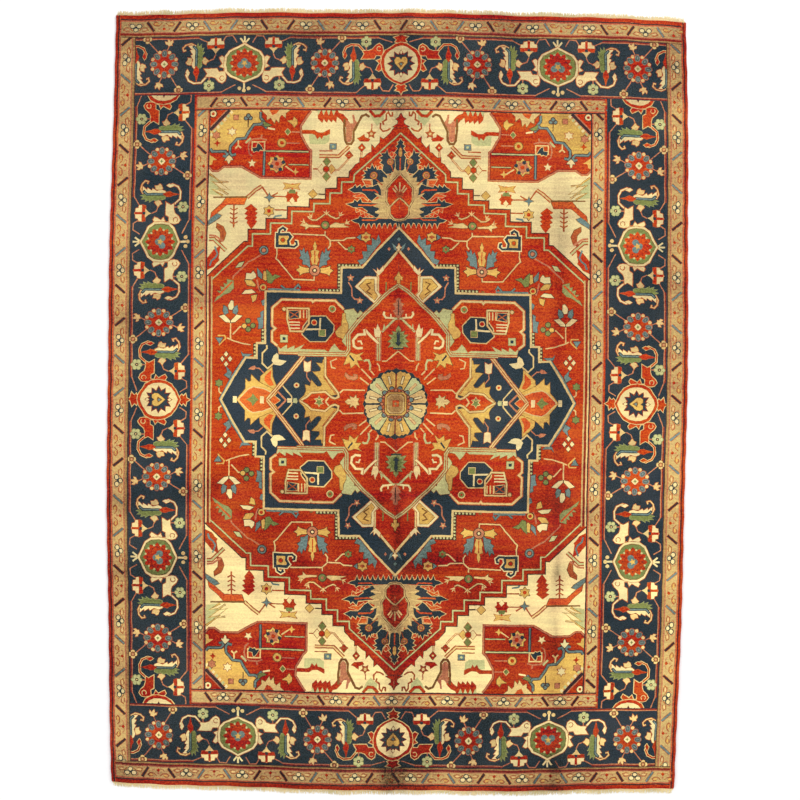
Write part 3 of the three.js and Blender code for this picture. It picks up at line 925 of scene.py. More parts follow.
    def draw_end_of_axis(self) -> None:
        """Draw the small leaves over the point of the medallion."""
        c = self.c
        c.fill(STEEL, [(0, 82.4), (1.5, 80.7), (0.6, 80.9), (0, 79.6)], BROWN)
        for leaf in ([(62, 41.6), (63.4, 40.8), (63.2, 38.4), (64.9, 38), (64.2, 35.4), (64.4, 33),
                (62.2, 33.6)], [(61.4, 47), (63, 46), (62.4, 44), (61.3, 44)]):
            c.fill(STEEL, leaf, BROWN, 0.4)


@dataclass
class Pendant:
    """The palmette tree over each point of the medallion, drawn for its +x half."""

    c: Cartoon

    def draw(self) -> None:
        """Draw the half of one pendant."""
        self.draw_lobes()
        self.draw_arms()
        self.draw_foot()
        self.draw_body()
        self.draw_heart()
        self.draw_flowers()

    def draw_lobes(self) -> None:
        """Draw the navy spear and the two serrated lobes beside it."""
        c = self.c
        c.fill(NAVY, [(0, 122.2), (0.5, 121), (1.4, 120.6), (0.9, 119.6), (2.1, 118.6), (1.2, 117.6),
            (2.7, 115.6), (1.6, 114.8), (2.6, 113.4), (2.4, 107.6), (0, 107)], STRAW, 0.55)
        c.fill(NAVY, [(6.2, 117.2), (6.9, 115.4), (9.2, 115.3), (8.1, 114.1), (9.8, 113.2), (8.4, 112.3),
            (9.4, 111), (7.7, 110), (8.2, 107.6), (8, 105.4), (2.2, 106.4), (2.6, 112.4), (4, 112.8),
            (5.5, 114.4)], STRAW, 0.55)
        c.fill(NAVY, [(8.3, 107.2), (9.6, 108.6), (10.8, 107.6), (11.3, 109.4), (12, 108.2), (13.1, 110.4),
            (13.8, 108.2), (15.5, 108.7), (15.2, 107.2), (17, 107.5), (15.8, 106), (17.4, 105.1),
            (16, 104.6), (17.4, 103.5), (12.8, 103.3), (12.4, 99.6), (8.6, 99), (5.4, 104.4)], STRAW, 0.55)

    def draw_arms(self) -> None:
        """Draw the two side arms, the flames of the ground between them and the lines along them."""
        c = self.c
        c.fill(ORANGE, [(21.4, 95.6), (19.6, 94.8), (17, 95.2), (14.6, 93.4), (13.4, 96.4), (17, 96.8)],
            STRAW, 0.5)
        c.fill(NAVY, [(23.6, 98.5), (21.6, 99.6), (20.6, 100.7), (20, 99.4), (18.3, 100.7), (17.8, 99.4),
            (16.2, 100.5), (15.6, 99.5), (12.6, 99.9), (10, 101), (8, 97), (11, 95), (12.8, 93.2),
            (14.4, 94.4), (16.2, 96.4), (17.4, 97.3), (21, 97.2)], STRAW, 0.55)
        c.fill(NAVY, [(24.6, 91.9), (21.4, 92.6), (20.8, 93.8), (19.6, 92.8), (18, 94.4), (17.4, 92.6),
            (12.8, 92.2), (8, 92), (8, 85.4), (12.6, 85.4), (15.4, 87.2), (14.6, 88.6), (17.2, 90.4),
            (21.2, 90.4)], STRAW, 0.55)
        for k in range(4):
            x, y = 20.4 - 2.1 * k, 89.3 - 1.0 * k
            c.fill(ORANGE, [(x, y + 0.6), (x - 2.3, y - 0.2), (x - 0.6, y - 1.3)], STRAW, 0.4)
        c.line(ORANGE, 0.75, [(17.3, 98.4), (11.6, 98.2), (10, 97), (8.6, 94.6)])
        c.line(ORANGE, 0.75, [(19, 91.5), (13, 91.2), (10, 91.6)])

    def draw_foot(self) -> None:
        """Draw the bar under the tree, with its teeth."""
        c = self.c
        teeth = []
        for k in range(8):
            x = 18.6 - 2.45 * k
            teeth.extend([(x, 83), (x - 0.9, 80.7), (x - 1.5, 82.6)])
        c.fill(NAVY, [(0, 85.3), (9, 85.3), (17, 85.4), (18.2, 86.2), (18.8, 85.2), (21.9, 84.3),
            (20.4, 83.4), *teeth, (0, 82.8)], STRAW, 0.5)
        c.line(ORANGE, 0.6, [(17.2, 84.4), (11, 84.3), (9.8, 85.2), (5, 85.2)])

    def draw_body(self) -> None:
        """Draw the gold body, whose spikes run out between the lobes."""
        c = self.c
        c.fill(CAMEL, [(0, 107.6), (1.2, 107), (2.6, 109.2), (2.9, 106.4), (4, 106.8), (4.4, 105),
            (5.8, 105.8), (6, 103.7), (8, 104.4), (7.6, 102), (10.8, 101.8), (8.9, 99.4), (8.6, 96.2),
            (11.8, 97), (9.4, 94.6), (13.4, 92.9), (9.2, 92.4), (12.2, 90.8), (9, 89.6), (11.4, 87.8),
            (9.2, 87), (10.6, 85.3), (0, 84.6)])
        c.fill(NAVY, [(10.3, 98.6), (8.9, 97.4), (8.2, 94.8), (9.6, 95.8)])

    def draw_heart(self) -> None:
        """Draw the red heart at the middle."""
        c = self.c
        heart = [(0, 105.8), (3.2, 102.4), (6, 99.2), (6.3, 93.4), (4.5, 90.4), (4.3, 87), (2.4, 84.9),
            (0, 84.4)]
        c.lines(heart, (STRAW, 1.6), (BROWN, 1.1), (CAMEL, 0.6))
        c.fill(MADDER, [(x * 0.9, 95 + (y - 95) * 0.95) for x, y in heart])
        c.fill(RUST, oval(0, 96.4, 1.9, 2, 10))
        for path in ([(0, 97.5), (0, 101.8)], [(0.8, 97.6), (2.4, 100.4)], [(1.4, 97), (3.3, 99.2)]):
            c.line(STRAW, 0.7, path)
        c.lines([(4.3, 90.6), (1.8, 93.2), (0, 94.6)], (BROWN, 1), (CAMEL, 0.6))

    def draw_flowers(self) -> None:
        """Draw the berries and rosettes on the navy."""
        c = self.c
        c.fill(GOLD, [(0, 118), (0.7, 117), (0.7, 114.4), (0, 113.6)], RUST, 0.35)
        c.line(ORANGE, 0.6, [(0, 113), (0, 107.6)])
        for path in ([(2.4, 108.2), (4.4, 103.6)], [(7.4, 103.8), (6.6, 101)], [(10.2, 101.2), (7.6, 98.6)],
                [(11.2, 96.4), (7.4, 95)], [(12.6, 92.7), (7.4, 92)], [(11.2, 88.2), (6.6, 88.6)]):
            c.line(STRAW, 0.5, path)
        c.fill(ORANGE, oval(4, 114.9, 0.9, 1.1, 8), STRAW, 0.5)
        c.fill(ORANGE, [(8.8, 109.6), (10.2, 109.2), (9.8, 107.8), (8.4, 108.2)], STRAW, 0.5)
        c.fill(ORANGE, [(17.2, 102.9), (13.6, 102.7), (13.2, 100.6), (16, 100.9)], STRAW, 0.5)
        for x, y, r in ((4.6, 111.4, 1.2), (12.2, 105.1, 1.4)):
            c.disc(GOLD, x, y, r, RUST)
            c.disc(ROSE, x, y, r * 0.55, BRONZE)
            c.line(RUST, 0.5, [(x * 0.93, y - r * 1.1), (x * 0.66, y - 4.6)])


@dataclass
class MedallionQuarter:
    """What one quarter of the medallion holds, in layers."""

    c: Cartoon

    def draw_edge_strips(self) -> None:
        """Draw the beaded strips that run along the steps outside the edge."""
        c = self.c
        for x0, y0, x1, y1 in ((17, 62.4, 28, 64.2), (26.4, 50, 28.2, 64.2), (27, 50.8, 37, 52.5),
                (65.2, 19.6, 66.8, 26.3), (61.4, 26.5, 63.2, 33.3)):
            c.fill(BROWN, box(x0, y0, x1, y1))
            across, along = x1 - x0, y1 - y0
            beads = int(max(across, along) / 1.5)
            for bead in range(beads):
                t = (bead + 0.5) / beads
                x, y = (x0 + across * t, y0 + along / 2) if across > along else (x0 + across / 2,
                    y0 + along * t)
                c.disc(WILLOW, x, y, 0.5)
        c.line(STEEL, 0.9, [(45, 51.6), (60, 51.6)])
        c.lines([(82.1, 0), (76.2, 11.2), (70.4, 20.2)], (BROWN, 1.2), (STEEL, 0.7))
        c.fill(STEEL, [(76.6, 12.6), (79.2, 15.4), (78.6, 12.8), (80.2, 11.4), (77.6, 9.8)], BROWN, 0.4)
        c.fill(STEEL, [(8.4, 74.2), (9.4, 77.6), (10.4, 74.8), (12.4, 76), (12.4, 72.6), (14.8, 73),
            (14.4, 69.8), (16.8, 69.8), (16.2, 66.6), (18.8, 65.6), (17.6, 63.6), (15.8, 64.4)], BROWN, 0.4)
        c.fill(BRONZE, [(38.2, 52), (39, 46), (39.8, 52)])

    def draw_panel(self) -> None:
        """Draw the red panel at the shoulder of the medallion."""
        c = self.c
        rim = [(25, 42.8), (29, 46.9), (38.5, 46.9), (39.2, 46.1), (39.8, 46.9), (53.6, 46.9), (57.9, 43),
            (58, 34.6), (56.5, 33.4), (58, 32), (58, 27.3), (55.4, 25.3)]
        c.fill(MADDER, [*rim, (54, 23), (23, 23), (23, 31), (20, 37)])
        c.lines(rim, (RUST, 1.6), (STRAW, 0.9))
        teeth = [(55.5, 25.3), (54, 24), (51.2, 25.9), (51, 24), (47.6, 25.6), (47.8, 24), (43, 26.4),
            (45, 24), (33.5, 24), (32, 22.9), (30.6, 25.3), (29.2, 26.8), (27, 24), (25, 23.6),
            (22.7, 24.3), (22.8, 22), (54.8, 22.2)]
        c.fill(WILLOW, teeth, RUST)
        c.lines([(24, 22), (55, 22)], (RUST, 1.3), (STRAW, 0.5))
        c.fill(WILLOW, [(24.9, 42.5), (20.5, 43.2), (18.6, 40.8), (17.6, 42.3), (15.5, 40.6), (16.5, 39),
            (19, 39.2), (19.3, 36.5), (22, 33), (22.9, 30.7), (22.8, 24.2), (25.6, 28), (24.6, 41)], BRONZE)
        c.fill(GOLD, [(25.6, 41), (24.3, 41), (24.2, 38.5), (23, 36), (23, 33.5), (24.5, 31), (25.4, 29.2),
            (28, 30.3), (28.8, 32.3), (27.5, 34.2), (26, 35.4)], BRONZE)

    def draw_panel_motifs(self) -> None:
        """Draw the octagon and the ornate block in the red panel."""
        c = self.c
        octagon = [(40, 39.3), (33.3, 39.5), (29.7, 35.4), (29.8, 32.5), (33.3, 28), (40.5, 27.9),
            (44, 31), (43.5, 34.5)]
        c.fill(NAVY, octagon, STRAW, 1)
        c.line(IVORY, 0.8, [(35.8, 38.8), (35.9, 33.6), (43.5, 33.2)])
        c.fill(OLIVE, box(33.5, 30.4, 36.3, 33.2), STRAW)
        c.disc(MADDER, 38.6, 36.6, 1, STRAW)
        c.lines([(40.8, 43), (51, 43), (51, 37.6), (49.6, 32.3), (43.8, 32.3), (41, 36), (41, 43)],
            (BRONZE, 1.2), (STRAW, 0.7))
        c.fill(NAVY, [(50.3, 41.8), (45.8, 41.8), (45.5, 38.6), (50, 38)], STRAW)
        c.line(RUST, 0.5, [(46, 41.4), (49.8, 38.4)])
        c.line(RUST, 0.5, [(46, 38.9), (50, 41.4)])
        for x in (45, 43.5, 42):
            c.line(STRAW, 0.6, [(x, 38.4), (x, 42.2)])
        for y in (36.5, 35.2, 33.7):
            c.line(IVORY, 0.6, [(45.2, y), (50.3, y)])
        c.disc(STRAW, 52.5, 42.5, 0.8, BRONZE)
        c.fill(WILLOW, box(50.8, 27, 54.2, 30.4), BRONZE)
        c.fill(NAVY, box(51.8, 28, 53.2, 29.4))
        c.disc(OLIVE, 30.3, 43, 1.3, STRAW)
        c.disc(MADDER, 30.3, 43, 0.5)

    def draw_vines(self) -> None:
        """Draw the thin vines on the navy."""
        c = self.c
        c.line(ROSE, 0.6, [(23, 55.5), (21.5, 53), (21.3, 49), (20, 47.6), (18.5, 47.5)])
        for x, y in ((22, 57.5), (17.8, 47)):
            c.at(x, y).fill(ROSE, star(5, 1.8, 0.9))
            c.disc(STRAW, x, y, 0.45)
        c.line(STRAW, 0.7, [(60.5, 25.5), (60.3, 24), (62.4, 21.8), (62.5, 17), (60, 14.6), (57.3, 17)])
        c.fill(ROSE, [(69, 14.2), (67.8, 15.4), (66, 15.9), (65.2, 14.8), (66.3, 13.9)])
        c.line(ROSE, 0.5, [(65.3, 14.7), (64, 14.7), (61.6, 12.4)])
        c.fill(IVORY, [(58.2, 18.3), (57.2, 20.8), (55.8, 22), (55, 21), (55, 19), (51.2, 18.3),
            (52.8, 16.8), (54.3, 16.1), (56.8, 16.5)])
        c.fill(IVORY, [(43.3, 18.7), (41.6, 17.8), (40, 18.7), (40.2, 14), (41.6, 13.5), (43, 14)], RUST)
        c.line(ROSE, 0.5, [(41.8, 13.5), (41.9, 11.2), (40, 8.7)])
        c.disc(STRAW, 46.5, 7.2, 1.3)
        c.disc(MADDER, 46.5, 7.2, 0.6)
        c.fill(WILLOW, [(46, 0), (46.4, 1.2), (48, 1), (48, 0)])
        c.fill(IVORY, box(48.5, 0, 50.7, 1))
        c.line(STRAW, 0.6, [(53, 6.8), (48.8, 2), (48.5, 0.6)])

    def draw_side_leaf(self) -> None:
        """Draw the gold leaf before the side points, and the crown of gold round the lozenge."""
        c = self.c
        c.fill(GOLD, [(63.5, 8), (63.2, 10.8), (61.5, 12.5), (57.9, 15.6), (57.7, 11), (56.2, 7.3),
            (55.3, 5.5), (58, 4)], BRONZE)
        c.fill(ORANGE, [(61.5, 9), (61.3, 11), (58.3, 14), (58.5, 10), (57, 7), (59, 6.5)])
        c.fill(GOLD, [(74.3, 0), (70.2, 5), (70.2, 9.8), (69, 8.4), (67.7, 8.6), (67.5, 11.5), (65.3, 9.3),
            (63.6, 8), (57, 5), (55, 4), (58, 0)], BRONZE)
        c.lines([(55.2, 4), (51.3, 0)], (ROSE, 0.8))

    def draw_gold_leaf(self) -> None:
        """Draw the large serrated leaf between the rosette's star and the side point."""
        c = self.c
        leaf = [(32.6, 20.6), (34.3, 19.4), (34.7, 17.6), (37.4, 17.8), (35.4, 15.6), (35.5, 13.9),
            (39, 13.6), (36.8, 11.3), (34.6, 8), (35.3, 6.8), (37, 6.8), (39.7, 9.7), (40.2, 6.9),
            (42.5, 7.5), (42, 4.5), (43, 2.5), (45.6, 0.2), (39, 3.4), (33.5, 4.6), (31, 2.7), (27.2, 3.5),
            (33.3, 11.8), (33.4, 16)]
        c.fill(GOLD, leaf, BRONZE)

    def draw_tip(self) -> None:
        """Draw the orange lozenge at the side point."""
        c = self.c
        c.fill(ORANGE, [(73.3, 0), (68.5, 4.8), (66.5, 5.8), (62, 5), (58.5, 3.5), (60.4, 0)], STRAW, 1)
        c.fill(OLIVE, [(70, 0), (67.5, 1.2), (66.8, 3), (65, 0.8), (64, 0)])
        c.fill(IVORY, box(61.6, 0, 63.4, 1.7))
        c.fill(IVORY, box(74.2, 0, 76, 1.5))
        c.fill(ORANGE, [(59.2, 0), (56.6, 2), (54, 0)], STRAW)
        c.lines([(60, 0), (51.6, 10.2), (43.2, 21)], (RUST, 2.2), (STRAW, 1.5), (RUST, 0.4))

    def draw_shoulder(self) -> None:
        """Draw the kite and the leaves under the end points."""
        c = self.c
        kite = [(0, 70.2), (3.4, 66.2), (9.5, 59), (9.5, 50.8), (7.6, 49)]
        c.lines(kite, (BROWN, 2), (STRAW, 1.1))
        c.fill(MADDER, [(0, 69.4), (3, 65.6), (8.9, 58.7), (8.9, 50.8), (7.5, 49.4), (3.8, 51.6),
            (0, 54.6)])
        c.fill(GOLD, [(0, 60.3), (0.8, 58.4), (1.8, 57.6), (1.6, 56.4), (0.6, 56.8), (0.7, 55), (0, 54.8)],
            BRONZE)
        c.line(OLIVE, 0.6, [(5.7, 55.5), (5.7, 50.5)])
        pentagon = [(19.9, 53.5), (15.3, 58.2), (10, 58), (9.9, 51.5), (7.9, 49), (11, 45.6)]
        c.fill(IVORY, pentagon, RUST)
        c.fill(GOLD, [(18, 53.6), (15, 56.8), (11.3, 56.8), (11.2, 51.5), (9.6, 49), (11, 47.2)], BRONZE)
        c.lines([(12.4, 55.4), (14.6, 54.6), (13, 52.6), (14.6, 51.2), (12.2, 49.6)], (BRONZE, 0.6))
        c.fill(IVORY, [(11.7, 61.6), (9.9, 60.3), (9.8, 62), (8.9, 60.8), (7.2, 63), (6.8, 61),
            (9.2, 58.5)], RUST)
        c.fill(IVORY, [(0, 73.5), (0.6, 71.9), (1.8, 71.5), (0.6, 71), (0, 69.6)], RUST)
        c.fill(STEEL, [(3.2, 73.6), (2.2, 70.8), (0.9, 69.8), (1.4, 72)])
        c.fill(ROSE, [(4.5, 71.8), (5.2, 70.9), (4.5, 70), (3.8, 70.9)])
        c.fill(STEEL, [(0, 76.4), (0.8, 75.4), (0, 74.4)])

    def draw_star_ground(self) -> None:
        """Draw the red ground of the inner star."""
        c = self.c
        c.fill(MADDER, [(0, 54.5), (4, 51.6), (8, 47.9), (10, 45.3), (15, 41), (19, 36.5), (22.6, 31.6),
            (22.7, 24), (24, 21.4), (33.3, 20.8), (33.3, 11.8), (27.2, 3.6), (27.2, 2), (28.8, 1.4),
            (31, 2.5), (33.3, 4.2), (39.4, 3.8), (41.5, 1.8), (44.4, 0), (0, 0)])

    def draw_star_lines(self) -> None:
        """Draw the triple lines that bound the inner star."""
        c = self.c
        upper = [(0, 54), (4, 51.4), (8, 47.8), (10.2, 45.3), (15, 41), (19, 36.5), (22.7, 31.6),
            (22.7, 24.2), (24.2, 21.8), (46, 21.8)]
        c.lines(upper, (RUST, 2.2), (WILLOW, 1.4), (RUST, 0.4))
        lower = [(45, 0), (41.5, 2), (39.6, 3.9), (33.2, 4.5), (30.3, 2), (28.6, 1.4), (27, 2.2), (27.3, 4),
            (33.3, 11.8), (33.4, 20.8)]
        c.lines(lower, (BRONZE, 1.3), (STRAW, 0.8))
        c.line(RUST, 0.4, [(28.4, 3.6), (34.3, 11.6)])
        c.line(STRAW, 0.7, [(33, 0), (31.5, 2)])
        c.at(36, 0.4).fill(OLIVE, star(5, 1.9, 1), STRAW)
        c.lines([(28, 20), (31, 18.6), (30.4, 15.8), (28.6, 15.4)], (STRAW, 0.6))

    def draw_tower(self) -> None:
        """Draw the tower of leaves over and under the rosette."""
        c = self.c
        c.lines([(9, 19), (9, 31.5)], (ROSE, 2.6), (WILLOW, 1.3), (RUST, 0.3))
        c.lines([(0, 38.6), (1.5, 38.5), (3.3, 36.6), (7.6, 32.4)], (RUST, 1.5), (WILLOW, 0.9))
        c.fill(ROSE, [(0, 48.2), (1, 47.5), (1, 46), (2.5, 45.3), (1.5, 43.8), (1.5, 42.5), (2.5, 42.3),
            (1, 39.5), (0, 38.3)], RUST)
        c.line(BROWN, 0.5, [(0, 47), (0, 40)])
        c.lines([(1.8, 38.7), (5.8, 39), (6.8, 40.5), (6.5, 41.8)], (RUST, 1.4), (IVORY, 0.8))
        c.line(IVORY, 0.6, [(3.5, 38.8), (3.5, 40.7)])
        c.fill(WILLOW, [(5.8, 33.8), (6.6, 36.2), (7.2, 33)], RUST, 0.4)
        c.fill(IVORY, [(8, 32.3), (9.5, 36.2), (10.3, 33.5), (11.2, 34.4), (11, 32), (10.5, 30), (8.5, 30)],
            RUST)
        c.lines([(0, 23.4), (5.3, 18.9), (7.4, 18.8)], (STRAW, 0.6))
        leaf = [(0, 35.2), (1.1, 33.4), (0.9, 32.2), (2.8, 32.6), (2.2, 31), (4.4, 30.9), (2.9, 29.4),
            (4.8, 27.8), (3.1, 27.3), (4.6, 25.2), (2.4, 25.6), (1.6, 24.3), (0, 24.2)]
        c.fill(SAGE, leaf, BRONZE)
        c.fill(OLIVE, [(x * 0.7, 30 + (y - 30) * 0.75) for x, y in leaf])
        c.fill(NAVY, [(0, 33), (0.8, 31.6), (0.7, 27.6), (1.6, 27.4), (0, 25.6)])
        c.line(NAVY, 0.6, [(0, 24.6), (2.5, 24.6)])

    def draw_hooks(self) -> None:
        """Draw the hooked ivory lines and the rays between the rosette and the star's edge."""
        c = self.c
        c.lines([(9, 27), (12.5, 30.3), (15.5, 33.7)], (RUST, 1.6), (IVORY, 1))
        c.lines([(15.7, 33.7), (15.4, 31.3), (18.5, 31.2), (20.7, 28.5), (20.3, 25.8), (18.8, 24.8),
            (16.3, 25)], (RUST, 1.6), (IVORY, 1))
        c.line(IVORY, 0.7, [(16.6, 26.6), (17.2, 28.2), (18.6, 28)])
        for ray in ([(8.3, 14.3), (8.6, 16.5), (9.6, 17.8)], [(10.8, 12.3), (12.5, 14.2)], [(12, 10.2),
                (16.8, 15.3)], [(13.3, 8), (17.4, 11.2)], [(15, 5.3), (25, 5.5), (26.6, 3.9)]):
            c.line(STRAW, 0.65, ray)
        c.fill(STRAW, [(24, 0), (22.6, 1.3), (21.4, 0.9), (21.8, 2.6), (20.2, 1.7), (19, 3.2), (18.8, 1.6),
            (17.6, 1.5), (18.2, 0)], BRONZE, 0.5)

    def draw_butterfly(self) -> None:
        """Draw the gold serrated leaf in each quarter of the star, with its curls."""
        c = self.c
        c.fill(GOLD, [(15.8, 23), (17.6, 21.4), (16.3, 19.2), (19, 19.3), (17.4, 15.6), (19.5, 17.5),
            (21.6, 15.8), (22, 18.2), (24.9, 17.2), (23.2, 21.3), (21.9, 22.8), (19, 21.8)], BRONZE)
        c.line(NAVY, 0.8, [(20.2, 19), (22.2, 21.6)])
        c.lines([(15.7, 18.8), (14.8, 19.3), (13.5, 19.2), (12.7, 17), (12.9, 14.5)], (WILLOW, 0.9))
        c.fill(ROSE, [(24, 13.5), (24.3, 12), (23, 10.6), (20, 10), (18.4, 10.8), (18.6, 12.6),
            (20.5, 12.8), (20, 11.6), (22.2, 12)], BRONZE, 0.4)


@dataclass
class Medallion:
    """The navy star medallion, with a second star of red inside it and a rosette in the middle."""

    c: Cartoon

    def draw(self) -> None:
        """Draw all four quarters, from the ground up."""
        c, part = self.c, MedallionQuarter
        quarters = [part(quarter) for quarter in c.quarters()]
        for quarter in quarters:
            quarter.draw_edge_strips()
        c.lines(whole(MEDALLION_EDGE), (STRAW, 1.9), closed=True)
        c.fill(NAVY, whole(MEDALLION_EDGE))
        for layer in (part.draw_panel, part.draw_panel_motifs, part.draw_vines, part.draw_side_leaf,
                      part.draw_gold_leaf, part.draw_tip, part.draw_shoulder, part.draw_star_ground,
                      part.draw_star_lines, part.draw_tower, part.draw_hooks, part.draw_butterfly):
            for quarter in quarters:
                layer(quarter)
        Rosette(c.at(-0.8, -1.1)).draw()


@dataclass
class Rosette:
    """The flower in the middle of the medallion."""

    c: Cartoon

    def draw(self) -> None:
        """Draw the twelve-petalled flower in the middle."""
        c = self.c
        tall = 15.8 / 14.3
        c.fill(NAVY, star(24, 15.0, 14.3, tall), RUST, 0.4)
        petal_edge = [(-1.6, 6.2), (-3.1, 11.6), (-3.2, 12.8), (-1.9, 13.9), (-0.9, 13.4), (0, 13.8),
            (0.9, 13.4), (1.9, 13.9), (3.2, 12.8), (3.1, 11.6), (1.6, 6.2)]
        yarns = (GOLD, WILLOW, STRAW, STRAW, WILLOW, GOLD) * 2
        for petal, yarn in enumerate(yarns):
            ray = c.at(turn=30 * petal + 15)
            grow = 1 + 0.1 * abs(math.cos(math.radians(30 * petal + 15)))
            ray.fill(yarn, [(x, y * grow) for x, y in petal_edge])
            light, edge = (STRAW, ROSE) if yarn is WILLOW else (IVORY, BROWN)
            ray.fill(light, box(-0.4, 8.6 * grow, 0.4, 12 * grow), edge, 0.5)
            ray.disc(STEEL, 0, 7.3, 0.9, BROWN)
        for turn, width, yarn in ((0, 0.6, DEEP_MADDER), (180, 0.6, DEEP_MADDER), (90, 0.9, NAVY),
                (270, 0.9, NAVY)):
            c.at(turn=turn).line(yarn, width, [(0, 7), (0, 14)])
        c.fill(RUST, star(12, 6.9, 6.5, 1.08))
        for petal in range(12):
            c.at(turn=30 * petal).disc(ROSE, 0, 6.3, 0.6, BROWN)
        for yarn, inset in ((BROWN, 0), (GOLD, 0.3), (BRONZE, 0.9), (CAMEL, 1.2), (TAN, 1.7)):
            wide, high = 5.1 - inset, 5.6 - inset
            c.fill(yarn, whole([(0, high), (wide - 1.4, high), (wide, high - 1.4), (wide, 0)]))
        c.fill(ORANGE, box(-1.4, -1.2, 1.4, 1.6), BRONZE, 0.4)
        c.fill(TAN, star(4, 1.1, 0.5))


def settle(x: np.ndarray, y: np.ndarray) -> np.ndarray:
    """Take points of the weaver's drawing, in centimetres, to where they lie on the floor, in metres.

    Args:
        x, y: the points.

    Returns:
        One row of x, y and the lift off the floor for each point.
    """
    u, v = x / HALF_WIDTH, y / HALF_LENGTH
    out_x = x * (1 + SIDE_BOW * (1 - v * v) + END_SPREAD * v) * CM
    out_y = y * (1 + END_BOW * (1 - u * u)) * CM
    side, end = np.clip(u, -1, 1) ** 4, np.clip(v, -1, 1) ** 4
    ripple = 0.0011 * np.sin(out_y * 46 + 1.3 * np.sin(out_y * 7.1)) * side
    drift = 0.0018 * np.sin(out_y * 5.3 + 0.8) + 0.0014 * np.sin(out_x * 5.2 + out_y * 2.1)
    sag = 0.0024 * np.sin(out_x * 7.4 + 0.5) + 0.0014 * np.sin(out_x * 31 + np.sin(out_x * 6)) * end
    crease = np.exp(-((out_x - 0.02) / 0.03) ** 2) + 0.8 * np.exp(-((out_x - 0.62) / 0.035) ** 2)
    crease += 0.8 * np.exp(-((out_x + 0.64) / 0.035) ** 2)
    lift = 0.0012 * (1 + np.sin(out_x * 4.3 + 1.1 * np.sin(out_y * 2.7)) * np.sin(out_y * 3.1 + 0.4))
    lift += 0.0014 * crease * (0.75 + 0.25 * np.sin(out_y * 4))
    return np.stack([out_x + drift + ripple * np.sign(x), out_y + sag, lift], axis=-1)


def inside(points: np.ndarray, outline: np.ndarray) -> np.ndarray:
    """Tell which points lie in an outline, by how often it winds round each.

    Args:
        points: the points, as rows of x and y.
        outline: the outline, as a ring of points.

    Returns:
        Whether each point lies in it.
    """
    turns = np.zeros(len(points), int)
    for a, b in zip(outline, np.roll(outline, -1, axis=0)):
        up = (a[1] <= points[:, 1]) & (b[1] > points[:, 1])
        down = (a[1] > points[:, 1]) & (b[1] <= points[:, 1])
        left = (b[0] - a[0]) * (points[:, 1] - a[1]) - (points[:, 0] - a[0]) * (b[1] - a[1])
        turns += (up & (left > 0)).astype(int) - (down & (left < 0)).astype(int)
    return turns != 0


def closely(outline: Points, step: float) -> np.ndarray:
    """Give an outline points of its own at least every step along its sides.

    Args:
        outline: the outline.
        step: the longest gap between its points.

    Returns:
        The outline with the points put in.
    """
    found = []
    for a, b in zip(np.asarray(outline, float), np.roll(np.asarray(outline, float), -1, axis=0)):
        parts = max(1, math.ceil(np.linalg.norm(b - a) / step))
        found.extend(a + (b - a) * k / parts for k in range(parts))
    return np.array(found)


def knotted(outline: Points, stray: np.random.Generator) -> np.ndarray:
    """Give an outline as it comes out in knots, a little off its line from one knot to the next."""
    found = closely(outline, KNOT_STEP)
    return found + stray.uniform(-KNOT_STRAY, KNOT_STRAY, found.shape)


def linear(colour: tuple[float, float, float]) -> np.ndarray:
    """Take a colour on the 0 to 255 screen scale to linear light."""
    c = np.array(colour, float) / 255
    return np.where(c <= 0.04045, c / 12.92, ((c + 0.055) / 1.055) ** 2.4)


def stand_in(mesh: bpy.types.Mesh, material: bpy.types.Material,
             nodes: Sequence[str]) -> bpy.types.Object:
    """Make a mesh that lies in place into a piece on the root body.

    Args:
        mesh: its mesh, whose name the piece takes.
        material: what it is made of.
        nodes: the CAD nodes that it stands for.

    Returns:
        The piece.
    """
    mesh.materials.append(material)
    obj = bpy.data.objects.new(mesh.name, mesh)
    bpy.context.scene.collection.objects.link(obj)
    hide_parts(*nodes)
    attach(obj, "root")
    return obj


